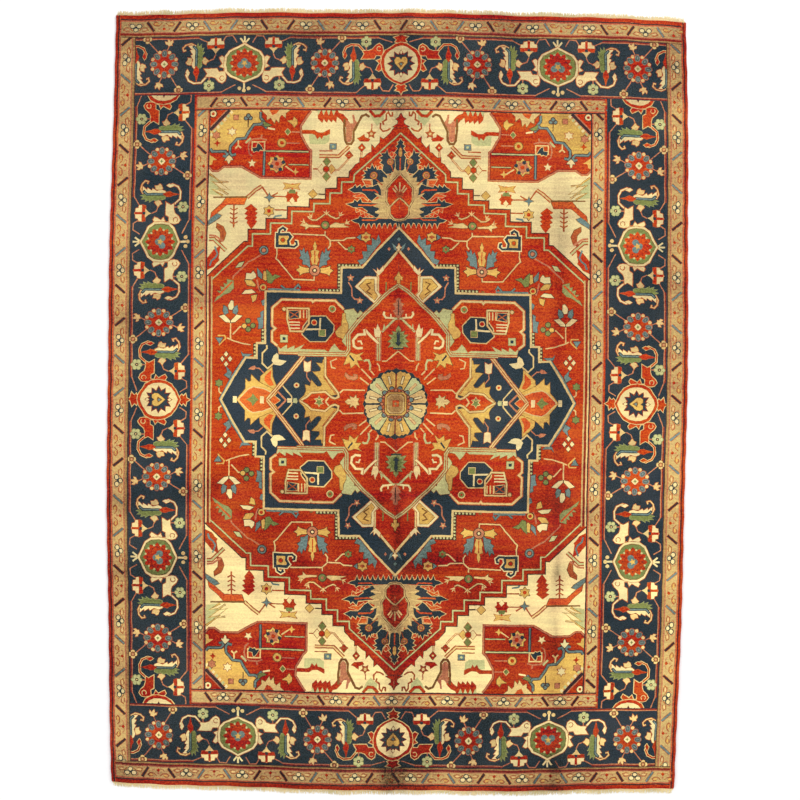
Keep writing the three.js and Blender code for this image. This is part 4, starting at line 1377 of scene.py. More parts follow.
@dataclass
class PileZone:
    """One zone of the knotted pile, cut along the areas of its drawing into a closed slab."""

    name: str
    outer: Points
    holes: Sequence[Points] = ()
    slot: str = "madder_wool"
    nodes: Sequence[str] = ()
    bottom: float = 0.0027
    top: float = 0.0115
    spacing: float = 4.0

    def build(self, cartoon: Cartoon, finish: bpy.types.Material, rng: random.Random) -> bpy.types.Object:
        """Cut the slab and colour it.

        Args:
            cartoon: the whole drawing.
            finish: the wool that the pile is made of.
            rng: gives each area of one yarn a shade of its own.

        Returns:
            The finished object.
        """
        rings = [closely(ring, RING_STEP) for ring in (self.outer, *self.holes)]
        low, high = rings[0].min(axis=0), rings[0].max(axis=0)
        patches = [p for p in cartoon.patches
                   if (p.outline.min(axis=0) < high).all() and (p.outline.max(axis=0) > low).all()]
        points, faces = self.cut([*rings, *(p.outline for p in patches)], low, high)
        middles = points[faces].mean(axis=1)
        keep = inside(middles, rings[0])
        for hole in rings[1:]:
            keep &= ~inside(middles, hole)
        faces, middles = faces[keep], middles[keep]
        shades = self.shade(patches, middles, rng)
        obj = self.assemble(points, faces, shades, finish)
        LOG.info("%s: %d areas, %d faces", self.name, len(patches), len(obj.data.polygons))
        return obj

    def cut(self, rings: list[np.ndarray], low: np.ndarray,
            high: np.ndarray) -> tuple[np.ndarray, np.ndarray]:
        """Cut the zone's plan into triangles along every outline.

        Args:
            rings: the outlines, as closed rings of points.
            low, high: the corners of the box round the zone.

        Returns:
            The points, and the triangles between them.
        """
        points, edges = [], []
        for ring in rings:
            first = len(points)
            points.extend(Vector(p) for p in ring)
            edges.extend((first + k, first + (k + 1) % len(ring)) for k in range(len(ring)))
        across, along = np.maximum(1, np.ceil((high - low) / self.spacing)).astype(int)
        for row in range(1, along):
            shift = 0.5 * (row % 2)
            for column in range(1, across):
                spot = low + (high - low) * ((column + shift) / (across + 0.5), row / along)
                points.append(Vector(spot))
        found, _, triangles, *_ = geometry.delaunay_2d_cdt(points, edges, [], 0, FINEST_GAP)
        return np.array([tuple(p) for p in found]), np.array([tuple(t) for t in triangles])

    def shade(self, patches: list[Patch], middles: np.ndarray, rng: random.Random) -> np.ndarray:
        """Give every triangle the colour of the uppermost area that it lies in.

        Args:
            patches: the areas over the zone, the uppermost last.
            middles: the middle of each triangle.
            rng: gives each area a shade of its own.

        Returns:
            A colour in linear light for each triangle.
        """
        shades = np.tile(linear(MADDER.value), (len(middles), 1))
        for patch in patches:
            low, high = patch.outline.min(axis=0), patch.outline.max(axis=0)
            near = np.flatnonzero(((middles >= low) & (middles <= high)).all(axis=1))
            hit = near[inside(middles[near], patch.outline)]
            lighter = 1 + rng.uniform(-0.07, 0.07)
            warmer = rng.uniform(-0.03, 0.03)
            shades[hit] = linear(patch.yarn.value) * (lighter + warmer, lighter, lighter - warmer)
        return shades

    def assemble(self, points: np.ndarray, faces: np.ndarray, shades: np.ndarray,
                 finish: bpy.types.Material) -> bpy.types.Object:
        """Close the cut plan with a wall and an underside, and lay it on the foundation.

        Args:
            points, faces: the cut plan, in centimetres.
            shades: the colour of each triangle.
            finish: the wool that the pile is made of.

        Returns:
            The piece.
        """
        used, faces = np.unique(faces, return_inverse=True)
        faces = faces.reshape(-1, 3)
        plan = points[used]
        place = settle(plan[:, 0], plan[:, 1])
        mesh = bpy.data.meshes.new(self.name)
        mesh.from_pydata((place + (0, 0, self.top)).tolist(), [], faces.tolist())
        tint = mesh.attributes.new("shade", "FLOAT_COLOR", "FACE")
        tint.data.foreach_set("color", np.c_[shades, np.ones(len(shades))].ravel())
        work = bmesh.new()
        work.from_mesh(mesh)
        rim = [e for e in work.edges if e.is_boundary]
        grown = bmesh.ops.extrude_edge_only(work, edges=rim)["geom"]
        for vert in (v for v in grown if isinstance(v, bmesh.types.BMVert)):
            vert.co.z -= self.top - self.bottom
        foot = [e for e in grown if isinstance(e, bmesh.types.BMEdge)]
        bmesh.ops.triangle_fill(work, use_beauty=True, use_dissolve=False, edges=foot, normal=(0, 0, -1))
        bmesh.ops.recalc_face_normals(work, faces=work.faces)
        work.to_mesh(mesh)
        work.free()
        return stand_in(mesh, finish, self.nodes)


@dataclass(frozen=True)
class Guard:
    """The measures of one guard band on all four sides."""

    outer: Point
    reach: float
    middle: Point
    half_width: float
    end_pitch: float
    side_pitch: float
    end_trefoil: float
    side_trefoils: Point
    paired: bool
    side_stripes: Sequence[tuple[Yarn, float, float]]
    end_stripes: Sequence[tuple[Yarn, float, float]]


OUTER = Guard(
    outer=PILE_EDGE, reach=131.3, middle=(128.3, 174.9), half_width=2.75, end_pitch=26.5, side_pitch=33.0,
    end_trefoil=8.4, side_trefoils=(-5.5, 6.0), paired=True,
    side_stripes=((AUBERGINE, 132.2, 131.7), (ORANGE, 131.7, 131.1), (ROSE, 125.7, 125.2),
                  (TAN, 125.2, 124.2), (BROWN, 124.2, 123.8)),
    end_stripes=((MADDER, 180.5, 178.7), (AUBERGINE, 178.7, 178.1), (ORANGE, 178.1, 177.5),
                 (TAN, 172.3, 171.9), (DEEP_MADDER, 171.9, 170.9), (TAN, 170.9, 170.3),
                     (BROWN, 170.3, 170.0)))
INNER = Guard(
    outer=INNER_GUARD, reach=94.8, middle=(91.9, 139.0), half_width=2.65, end_pitch=26.3, side_pitch=33.2,
    end_trefoil=-1.0, side_trefoils=(-7.0, 7.0), paired=False,
    side_stripes=((TAN, 97.0, 96.2), (AUBERGINE, 96.2, 95.6), (MADDER, 95.6, 94.8), (ORANGE, 89.4, 88.8),
                  (AUBERGINE, 88.8, 88.2)),
    end_stripes=((DEEP_MADDER, 142.6, 141.7), (ORANGE, 136.3, 135.8), (AUBERGINE, 135.8, 135.2)))


@dataclass
class Pile:
    """The whole of the knotted pile: the drawing, and its zones."""

    finish: bpy.types.Material
    rng: random.Random
    cartoon: Cartoon = field(default_factory=Cartoon)

    def build(self) -> list[bpy.types.Object]:
        """Draw the rug and cut every zone.

        Returns:
            One piece for each zone.
        """
        self.draw()
        stray = np.random.default_rng(self.rng.randrange(1000))
        for patch in self.cartoon.patches:
            patch.outline = knotted(patch.outline, stray)
        LOG.info("the drawing has %d areas", len(self.cartoon.patches))
        return [zone.build(self.cartoon, self.finish, self.rng) for zone in self.zones()]

    def draw(self) -> None:
        """Lay out the drawing from the grounds up."""
        c = self.cartoon
        quarters = c.quarters()
        c.fill(IVORY, box(-FIELD[0], -FIELD[1], FIELD[0], FIELD[1]))
        for quarter in quarters:
            IvoryEnd(quarter).draw()
        for quarter in quarters:
            CornerPanel(quarter).draw_ground()
        for quarter in quarters:
            CornerPanel(quarter).draw()
        c.lines(whole(GROUND_EDGE), (BROWN, 1.0), closed=True)
        c.fill(MADDER, whole(GROUND_EDGE))
        for quarter in quarters:
            RedGround(quarter).draw_outline()
        for quarter in quarters:
            RedGround(quarter).draw()
        Medallion(c).draw()
        for quarter in quarters:
            Pendant(quarter).draw()
        self.draw_field_edge()
        self.draw_guard(INNER)
        MainBorder().draw(c)
        self.draw_guard(OUTER)

    def draw_field_edge(self) -> None:
        """Draw the narrow lines along the two long edges of the field."""
        for quarter in self.cartoon.quarters():
            for yarn, x0, x1 in ((DEEP_MADDER, 86.4, 87.5), (CAMEL, 85.7, 86.4), (STRAW, 87.5, 88.3)):
                quarter.fill(yarn, box(x0, 0, x1, 57.5))

    def draw_guard(self, guard: Guard) -> None:
        """Draw a guard band on all four sides, with the stripes along both edges of it.

        Args:
            guard: its measures.
        """
        c = self.cartoon
        for side in (-1, 1):
            long = guard.outer[1]
            self.draw_stripes(guard.side_stripes, lambda a, b: box(side * a, -long, side * b, long))
            trefoil = guard.side_trefoils[(side + 1) // 2]
            run = GuardBand(long, guard.half_width, guard.side_pitch, trefoil)
            run.draw(c.at(side * guard.middle[0], 0, turn=-90 * side))
        for end in (-1, 1):
            wide = guard.reach
            self.draw_stripes(guard.end_stripes, lambda a, b: box(-wide, end * a, wide, end * b))
            run = GuardBand(wide - 0.6, guard.half_width, guard.end_pitch, guard.end_trefoil, guard.paired)
            run.draw(c.at(0, end * guard.middle[1], flip=(1, end)))

    def draw_stripes(self, stripes: Sequence[tuple[Yarn, float, float]], shape: Callable) -> None:
        """Draw stripes of the given yarns from one distance off the middle to another."""
        for yarn, start, stop in stripes:
            self.cartoon.fill(yarn, shape(start, stop))

    def zones(self) -> Iterable[PileZone]:
        """Give every zone of the pile with the CAD nodes that it stands for.

        Returns:
            The zones, one after another.
        """
        bands = (("outer_guard", PILE_EDGE, MAIN_BORDER, "camel_wool"),
                 ("main_border", MAIN_BORDER, INNER_GUARD, "navy_wool"),
                 ("inner_guard", INNER_GUARD, FIELD, "camel_wool"))
        for name, (x0, y0), (x1, y1), slot in bands:
            for place, side, corners in (("top", 1, (-x0, y1, x0, y0)), ("bottom", -1, (-x0, -y1, x0, -y0)),
                                         ("left", -1, (-x1, -y1, -x0, y1)),
                                             ("right", 1, (x1, -y1, x0, y1))):
                outline = box(*corners)[::side]
                yield PileZone(f"{name}_{place}", outline, (), slot, (f"pile_{name}_{place}",))
        medallion = whole(MEDALLION_EDGE)
        tree = mirrored(PENDANT_EDGE)
        low_tree = [(x, -y) for x, y in tree][::-1]
        yield PileZone("medallion", medallion, (), "navy_wool", ("pile_medallion",))
        yield PileZone("pendant_top", tree, (), "navy_wool", ("pile_pendant_top",))
        yield PileZone("pendant_bottom", low_tree, (), "navy_wool", ("pile_pendant_bottom",))
        holes = (medallion, tree, low_tree)
        yield PileZone("ground", whole(GROUND_EDGE), holes, "madder_wool", ("pile_ground",))
        for side, place in ((1, "top"), (-1, "bottom")):
            inner = [*((-x, y) for x, y in reversed(GROUND_EDGE[1:])), *GROUND_EDGE]
            corner = list(CORNER_EDGE[1:])
            outline = [*inner, *corner[::-1], *((-x, y) for x, y in corner)]
            outline = [(x, side * y) for x, y in outline][:: -side]
            yield PileZone(f"ivory_{place}", outline, (), "ivory_wool", (f"pile_ivory_{place}",))
            for hand, where in ((-1, "left"), (1, "right")):
                outline = [(hand * x, side * y) for x, y in CORNER_EDGE][:: side * hand]
                name = f"corner_{place}_{where}"
                yield PileZone(name, outline, (), "madder_wool", (f"pile_{name}",))


class Tree:
    """A shader node tree under construction."""

    def __init__(self, tree: bpy.types.NodeTree) -> None:
        """Start from an existing tree."""
        self.tree = tree

    def add(self, kind: str, inputs: dict | None = None, **settings: object) -> bpy.types.Node:
        """Add a node.

        Args:
            kind: its type, without the "ShaderNode" in front.
            inputs: a value or a socket to link for each input, by name or number.
            settings: its own properties.

        Returns:
            The node.
        """
        node = self.tree.nodes.new("ShaderNode" + kind)
        for name, value in settings.items():
            setattr(node, name, value)
        for name, value in (inputs or {}).items():
            if isinstance(value, bpy.types.NodeSocket):
                self.tree.links.new(value, node.inputs[name])
            else:
                node.inputs[name].default_value = value
        return node

    def math(self, operation: str, a: object, b: object = 0.5, clamp: bool = False) -> bpy.types.NodeSocket:
        """Add a sum on two values and give its result."""
        return self.add("Math", {0: a, 1: b}, operation=operation, use_clamp=clamp).outputs[0]

    def times(self, a: object, b: object) -> bpy.types.NodeSocket:
        """Give the product of two values."""
        return self.math("MULTIPLY", a, b)

    def plus(self, a: object, b: object) -> bpy.types.NodeSocket:
        """Give the sum of two values."""
        return self.math("ADD", a, b)

    def bump(self, height: bpy.types.NodeSocket, strength: float, depth: float) -> bpy.types.NodeSocket:
        """Give the normal of a surface with a height of its own, up to a depth in metres."""
        return self.add("Bump", {"Height": height, "Strength": strength, "Distance": depth}).outputs[0]

    def mix(self, share: bpy.types.NodeSocket, colour: bpy.types.NodeSocket,
            other: tuple[float, float, float, float]) -> bpy.types.NodeSocket:
        """Take a share of one colour's way to another."""
        return self.add("Mix", {0: share, 6: colour, 7: other}, data_type="RGBA").outputs[2]

    def noise(self, at: bpy.types.NodeSocket, size: Sequence[float],
              detail: float = 2.0) -> bpy.types.NodeSocket:
        """Give smooth noise from 0 to 1 whose grain has the given sizes in metres."""
        scaled = self.add("Mapping", {"Vector": at, "Scale": [1 / s for s in size]}).outputs[0]
        return self.add("TexNoise", {"Vector": scaled, "Scale": 1.0, "Detail": detail}).outputs[0]

    def spread(self, value: bpy.types.NodeSocket, low: float, high: float, to_low: float,
               to_high: float) -> bpy.types.NodeSocket:
        """Take one range of values to another, and hold it there."""
        return self.add("MapRange", {0: value, 1: low, 2: high, 3: to_low, 4: to_high}).outputs[0]


class NodeGroups:
    """The node groups that the finishes share."""

    @staticmethod
    def begin(name: str, inputs: dict[str, str], outputs: dict[str, str]) -> tuple[Tree, dict]:
        """Start a group with named sockets, and give its tree and its input sockets.

        Args:
            name: its name.
            inputs, outputs: the type of each socket, by its name.

        Returns:
            The group's tree, and its input sockets by name.
        """
        group = bpy.data.node_groups.new(name, "ShaderNodeTree")
        for in_out, sockets in (("INPUT", inputs), ("OUTPUT", outputs)):
            for label, kind in sockets.items():
                group.interface.new_socket(label, in_out=in_out, socket_type="NodeSocket" + kind)
        entry = group.nodes.new("NodeGroupInput")
        return Tree(group), {s.name: s for s in entry.outputs}

    @staticmethod
    def end(tree: Tree, **results: bpy.types.NodeSocket) -> bpy.types.NodeTree:
        """Link the results to the group's outputs.

        Args:
            tree: the group's tree.
            results: the socket for each output.

        Returns:
            The finished group.
        """
        leave = tree.tree.nodes.new("NodeGroupOutput")
        for name, socket in results.items():
            tree.tree.links.new(socket, leave.inputs[name])
        return tree.tree

    @staticmethod
    def abrash_and_painted_light() -> bpy.types.NodeTree:
        """Streaks of one dye lot after another along the knot rows, painted shade along the old folds, at the
        ends and by the left edge, painted light in broad patches, and wear.

        Returns:
            The node group.
        """
        tree, given = NodeGroups.begin("abrash_and_painted_light", {"Colour": "Color", "Strength": "Float"},
                                       {"Colour": "Color", "Wear": "Float"})
        at = tree.add("TexCoord").outputs["Object"]
        pale = tree.add("RGBToBW", {0: given["Colour"]}).outputs[0]
        streaks = tree.noise(at, (0.3, 0.012, 1), 4)
        lots = tree.noise(at, (1.4, 0.06, 1), 3)
        clouds = tree.noise(at, (0.3, 0.24, 1), 4)
        grain = tree.noise(at, (0.011, 0.009, 1), 3)
        knots = tree.noise(at, (0.0045, 0.0035, 1), 1)
        warm = tree.plus(tree.spread(lots, 0.3, 0.7, -0.5, 0.5), tree.spread(streaks, 0.3, 0.7, -0.6, 0.6))
        speckle = tree.plus(tree.spread(knots, 0.25, 0.75, -0.4, 0.4),
            tree.spread(grain, 0.32, 0.68, -0.3, 0.26))
        light = tree.spread(clouds, 0.32, 0.68, -0.2, 0.2)
        # The first part is painted light and shade: shade along the old folds, at the ends and by the left
        # edge, light at the lower right and left of the middle.
        for part in (NodeGroups.nap(tree, at, pale),
                tree.times(speckle, tree.spread(pale, 0.05, 0.55, 1.1, 0.35)),
                     tree.times(warm, 0.14)):
            light = tree.plus(light, part)
        light = tree.times(light, given["Strength"])
        hue = tree.times(tree.times(warm, given["Strength"]), 0.008)
        hue = tree.plus(hue, tree.spread(light, -0.3, 0.3, -0.006, 0.01))
        # The yarn colour made lighter or darker by the dye-lot streaks, the grain and the painted light and
        # shade.
        streaked_and_shaded = tree.add("HueSaturation", {"Hue": tree.plus(hue, 0.501), "Saturation": 1.0,
            "Value": tree.plus(light, 0.98), "Color": given["Colour"]}).outputs[0]
        bare = tree.spread(tree.noise(at, (0.4, 0.3, 1), 2), 0.35, 0.6, 0.25, 1.0)
        tips = tree.times(tree.spread(knots, 0.42, 0.7, 0.0, 0.32), tree.spread(pale, 0.03, 0.12, 1, 0))
        tips = tree.times(tips, bare)
        stain = tree.times(tree.spread(tree.noise(at, (0.13, 0.1, 1), 1), 0.5, 0.68, 0.0, 0.4),
                           tree.spread(pale, 0.4, 0.55, 0.0, 1.0))
        stained = tree.mix(stain, streaked_and_shaded, (0.58, 0.52, 0.25, 1))
        frosted = tree.mix(tips, stained, (0.13, 0.15, 0.12, 1))
        wear = tree.spread(clouds, 0.45, 0.75, 0.0, 1.0)
        worn = tree.times(wear, tree.times(given["Strength"], 0.04))
        dusty = tree.mix(worn, frosted, (0.5, 0.33, 0.16, 1))
        return NodeGroups.end(tree, Colour=dusty, Wear=wear)

    @staticmethod
    def nap(tree: Tree, at: bpy.types.NodeSocket, pale: bpy.types.NodeSocket) -> bpy.types.NodeSocket:
        """Give the painted light and shade on the pile: painted shade along the old fold lines, at the two
        ends and by the left edge, painted light at the lower right and left of the middle, and pale yarns
        lighter and dark ones darker towards the bottom.

        Args:
            tree: the tree to add to.
            at: the place on the rug.
            pale: how pale the yarn is.

        Returns:
            What to add to the light, from -0.56 up.
        """
        bent = tree.spread(tree.noise(at, (0.25, 0.35, 1), 3), 0, 1, -0.07, 0.07)
        x, y = tree.add("SeparateXYZ", {0: at}).outputs[:2]
        # Painted light: the right side is lighter below the middle.
        right = tree.times(tree.spread(x, 0.7, 1.25, 0.0, 0.32), tree.spread(y, -0.35, 0.1, 1.0, 0.0))
        # Pale yarns lighter and dark yarns darker towards the bottom.
        bottom_contrast = tree.times(tree.spread(pale, 0.1, 0.5, -0.2, 0.2), tree.spread(y, -1.2, 0.2, 1.0, 0.0))
        # Painted light round the left of the middle, halfway along.
        beside = tree.spread(tree.math("ABSOLUTE", tree.plus(x, 0.78)), 0.15, 0.4, 0.25, 0.06)
        left = tree.times(beside, tree.spread(tree.math("ABSOLUTE", y), 0.25, 0.5, 1.0, 0.0))
        total = tree.plus(tree.plus(right, left), bottom_contrast)
        # Painted shade by the left edge and at both ends.
        for axis, start, stop, low, high in ((x, -1.36, -1.1, -0.1, 0.0), (y, 1.3, 1.6, 0.0, -0.17),
                (y, -1.7, -1.4, -0.14, 0.0)):
            total = tree.plus(total, tree.spread(axis, start, stop, low, high))
        # Painted shade along the old fold lines, broken up by noise and deeper towards the bottom.
        broken = tree.spread(tree.noise(at, (0.06, 0.3, 1), 3), 0.3, 0.65, 0.2, 1.0)
        deeper = tree.times(broken, tree.spread(y, -1.6, 0.7, 1.2, 0.6))
        waves = tree.times(tree.math("SINE", tree.plus(tree.times(x, 5.7), 5.8)), -0.06)
        along, across = tree.plus(x, bent), tree.plus(tree.plus(y, bent), waves)
        folds = ((along, 0.0, 0.06, 0.42), (along, 0.01, 0.2, 0.22), (along, 0.76, 0.06, 0.42),
            (along, -0.62, 0.05, 0.12), (along, 0.38, 0.05, 0.12), (across, -0.44, 0.07, 0.38),
            (across, -0.77, 0.07, 0.3), (across, 0.42, 0.08, 0.22), (across, 0.72, 0.05, 0.12))
        for axis, place, width, depth in folds:
            off = tree.math("ABSOLUTE", tree.math("SUBTRACT", axis, place))
            fold_shade = tree.times(tree.spread(off, 0.0, width, -depth, 0.0), deeper)
            total = tree.plus(total, fold_shade)
        return tree.math("MAXIMUM", total, -0.56)

    @staticmethod
    def knots() -> bpy.types.NodeTree:
        """The height of the pile: rows of knots, tufts that lean apart, and the combed nap.

        Returns:
            The node group.
        """
        tree, given = NodeGroups.begin("knots", {"Pitch": "Float"}, {"Height": "Float"})
        at = tree.add("TexCoord").outputs["Object"]
        bent = tree.noise(at, (0.05, 0.05, 0.05), 2)
        shift = tree.add("CombineXYZ", {0: tree.times(bent, 0.006), 1: tree.times(bent, 0.004)}).outputs[0]
        shifted = tree.add("VectorMath", {0: at, 1: shift}, operation="ADD").outputs[0]
        parts = tree.add("SeparateXYZ", {0: shifted})
        rate = tree.math("DIVIDE", 2 * math.pi, given["Pitch"])
        rows = tree.math("SINE", tree.times(parts.outputs[1], rate))
        columns = tree.math("SINE", tree.times(parts.outputs[0], rate))
        grid = tree.plus(tree.times(rows, 0.3), tree.times(columns, 0.14))
        tufts = tree.add("TexVoronoi", {"Vector": at, "Scale": 330.0}, feature="F1").outputs["Distance"]
        nap = tree.noise(at, (0.0016, 0.006, 0.002), 3)
        height = tree.plus(grid, tree.math("SUBTRACT", nap, tufts))
        return NodeGroups.end(tree, Height=height)

    @staticmethod
    def threads() -> bpy.types.NodeTree:
        """A plain weave or a wrapped yarn as bands across one direction, with the fibres in it.

        Returns:
            The node group.
        """
        tree, given = NodeGroups.begin("threads", {"Along": "Float", "Across": "Float"},
            {"Height": "Float"})
        at = tree.add("TexCoord").outputs["Object"]
        parts = tree.add("SeparateXYZ", {0: at})
        over = tree.math("SINE", tree.times(parts.outputs[0], given["Across"]))
        under = tree.math("SINE", tree.times(parts.outputs[1], given["Along"]))
        fibres = tree.noise(at, (0.0012, 0.0012, 0.0012), 3)
        weave = tree.plus(tree.times(over, 0.4), tree.times(under, 0.6))
        return NodeGroups.end(tree, Height=tree.plus(weave, fibres))


def dress(tree: Tree, colour: bpy.types.NodeSocket, bump: bpy.types.NodeSocket,
          rough: bpy.types.NodeSocket, **values: float) -> None:
    """Link a finish to its material's shader.

    Args:
        tree: the material's nodes.
        colour, bump, rough: the sockets with its colour, normal and roughness.
        values: other inputs of the shader, with low lines for spaces.
    """
    shader = tree.tree.nodes["Principled BSDF"]
    for socket, name in ((colour, "Base Color"), (bump, "Normal"), (rough, "Roughness")):
        tree.tree.links.new(socket, shader.inputs[name])
    for name, value in values.items():
        shader.inputs[name.replace("_", " ")].default_value = value


@dataclass(frozen=True)
class WoolPile:
    """The clipped pile: matt, slightly lit at grazing angles, coloured face by face."""

    pitch: float = 0.0035
    strength: float = 1.0
    sheen: float = 0.05

    def make(self, groups: dict[str, bpy.types.NodeTree]) -> bpy.types.Material:
        """Build the material.

        Args:
            groups: the shared node groups by name.

        Returns:
            The material.
        """
        material = bpy.data.materials.new("wool pile")
        material.use_nodes = True
        tree = Tree(material.node_tree)
        shade = tree.add("Attribute", attribute_name="shade").outputs["Color"]
        # Dye-lot streaks and wear, with painted shade along the folds and at the ends and painted light in
        # broad patches.
        aged_and_shaded = tree.add("Group", node_tree=groups["abrash_and_painted_light"])
        tree.tree.links.new(shade, aged_and_shaded.inputs["Colour"])
        aged_and_shaded.inputs["Strength"].default_value = self.strength
        pile = tree.add("Group", node_tree=groups["knots"])
        pile.inputs["Pitch"].default_value = self.pitch
        bump = tree.bump(pile.outputs["Height"], 0.55, 0.0012)
        rough = tree.spread(aged_and_shaded.outputs["Wear"], 0, 1, 0.95, 0.82)
        dress(tree, aged_and_shaded.outputs["Colour"], bump, rough, Sheen_Weight=self.sheen, Sheen_Roughness=0.6,
              Specular_IOR_Level=0.12)
        return material


@dataclass(frozen=True)
class Thread:
    """A spun or woven yarn that isn't pile."""

    name: str
    colour: tuple[float, float, float]
    along: float = 1800.0
    across: float = 1800.0
    depth: float = 0.0008
    strength: float = 0.8
    sheen: float = 0.05

    def make(self, groups: dict[str, bpy.types.NodeTree]) -> bpy.types.Material:
        """Build the material.

        Args:
            groups: the shared node groups by name.

        Returns:
            The material.
        """
        material = bpy.data.materials.new(self.name)
        material.use_nodes = True
        tree = Tree(material.node_tree)
        # Dye-lot streaks and wear, with painted shade along the folds and at the ends and painted light in
        # broad patches.
        aged_and_shaded = tree.add("Group", node_tree=groups["abrash_and_painted_light"])
        aged_and_shaded.inputs["Colour"].default_value = (*linear(self.colour), 1)
        aged_and_shaded.inputs["Strength"].default_value = self.strength
        weave = tree.add("Group", node_tree=groups["threads"])
        weave.inputs["Along"].default_value = self.along
        weave.inputs["Across"].default_value = self.across
        bump = tree.bump(weave.outputs["Height"], 0.6, self.depth)
        rough = tree.spread(aged_and_shaded.outputs["Wear"], 0, 1, 0.95, 0.85)
        dress(tree, aged_and_shaded.outputs["Colour"], bump, rough, Sheen_Weight=self.sheen, Specular_IOR_Level=0.15)
        return material


def finish_piece(name: str, points: list, faces: list, material: bpy.types.Material,
                 nodes: Sequence[str], smooth: bool = False) -> bpy.types.Object:
    """Make a piece out of points and faces that already lie in place, and put it on the root body.

    Args:
        name: its name.
        points, faces: its mesh, in metres.
        material: what it is made of.
        nodes: the CAD nodes that it stands for.
        smooth: whether its faces are shaded smooth.

    Returns:
        The piece.
    """
    mesh = bpy.data.meshes.new(name)
    mesh.from_pydata([tuple(p) for p in points], [], faces)
    work = bmesh.new()
    work.from_mesh(mesh)
    bmesh.ops.recalc_face_normals(work, faces=work.faces)
    work.to_mesh(mesh)
    work.free()
    mesh.polygons.foreach_set("use_smooth", [smooth] * len(mesh.polygons))
    return stand_in(mesh, material, nodes)


def slab(rows: np.ndarray, low: float, high: float) -> tuple[list, list]:
    """Close a grid of settled points into a thin slab.

    Args:
        rows: the grid, as rows by columns by x, y and lift.
        low, high: the heights of its underside and top over the lift.

    Returns:
        Points and faces.
    """
    tall, wide, _ = rows.shape
    sheet = rows.reshape(-1, 3)
    points = [*(sheet + (0, 0, high)).tolist(), *(sheet + (0, 0, low)).tolist()]
    count = tall * wide
    faces = []
    for r in range(tall - 1):
        for k in range(wide - 1):
            a, b, c, d = r * wide + k, r * wide + k + 1, (r + 1) * wide + k + 1, (r + 1) * wide + k
            faces.append((a, b, c, d))
            faces.append((a + count, d + count, c + count, b + count))
    number = np.arange(count).reshape(tall, wide)
    rim = [*number[0], *number[1:, -1], *number[-1, -2::-1], *number[-2:0:-1, 0]]
    for a, b in zip(map(int, rim), map(int, rim[1:] + rim[:1])):
        faces.append((a, a + count, b + count, b))
    return points, faces


@dataclass
class Foundation:
    """The cotton ground weave that carries the knots."""

    material: bpy.types.Material
    thickness: float = 0.0026
    columns: int = 56
    rows: int = 76

    def build(self) -> bpy.types.Object:
        """Build the woven sheet under the pile.

        Returns:
            The piece.
        """
        across = np.linspace(-WEB_HALF_WIDTH, WEB_HALF_WIDTH, self.columns)
        x, y = np.meshgrid(across, np.linspace(-HALF_LENGTH, HALF_LENGTH, self.rows))
        points, faces = slab(settle(x, y), 0.0, self.thickness)
        return finish_piece("foundation_weave", points, faces, self.material, ("foundation",))


@dataclass
class Selvedge:
    """The overcast edge along one side: a warp bundle wrapped in red wool."""

    material: bpy.types.Material
    side: int
    name: str
    turns: int = 620
    sides: int = 8
    half_width: float = 0.0068
    half_height: float = 0.0054
    middle: float = 0.0056

    def build(self) -> bpy.types.Object:
        """Build the wrapped roll.

        Returns:
            The piece.
        """
        rows = self.turns * 2
        y = np.linspace(-HALF_LENGTH - 0.1, HALF_LENGTH + 0.1, rows)
        points, faces = [], []
        for k, spot in enumerate(settle(np.full(rows, self.side * SELVEDGE_MIDDLE), y)):
            swell = 1.0 + (0.07 if k % 2 else -0.07) + 0.04 * math.sin(k * 0.37) * math.sin(k * 0.11)
            if k in (0, rows - 1):
                swell = 0.55
            for s in range(self.sides):
                turn = 2 * math.pi * s / self.sides
                lean = 0.0012 * math.cos(turn) * self.side
                out, up = self.half_width * math.cos(turn), self.half_height * math.sin(turn)
                points.append((spot[0] + out * swell, spot[1] + lean, spot[2] + self.middle + up * swell))
        for k in range(rows - 1):
            for s in range(self.sides):
                a, b = k * self.sides + s, k * self.sides + (s + 1) % self.sides
                faces.append((a, b, b + self.sides, a + self.sides))
        faces.append(tuple(range(self.sides)))
        faces.append(tuple((rows - 1) * self.sides + s for s in range(self.sides)))
        nodes = (f"selvedge_core_{self.name}", f"selvedge_overcast_{self.name}")
        return finish_piece(f"overcast_{self.name}", points, faces, self.material, nodes,
                            smooth=True)


@dataclass
class KilimEnd:
    """The narrow flat-woven strip at one end."""

    material: bpy.types.Material
    end: int
    name: str
    thickness: float = 0.0028
    columns: int = 220
    rows: int = 5

    def build(self) -> bpy.types.Object:
        """Build the ribbed strip.

        Returns:
            The piece.
        """
        rows = np.linspace(HALF_LENGTH - 0.1, HALF_LENGTH + 0.7, self.rows)
        x, y = np.meshgrid(np.linspace(-KILIM_HALF_WIDTH, KILIM_HALF_WIDTH, self.columns), self.end * rows)
        place = settle(x, y)
        place[:, :, 1] += 0.0006 * np.sin(x * 1.9) * np.linspace(0, 1, self.rows)[:, None] * self.end
        points, faces = slab(place, 0.0, self.thickness)
        nodes = (f"kilim_web_{self.name}",)
        return finish_piece(f"kilim_{self.name}", points, faces, self.material, nodes)


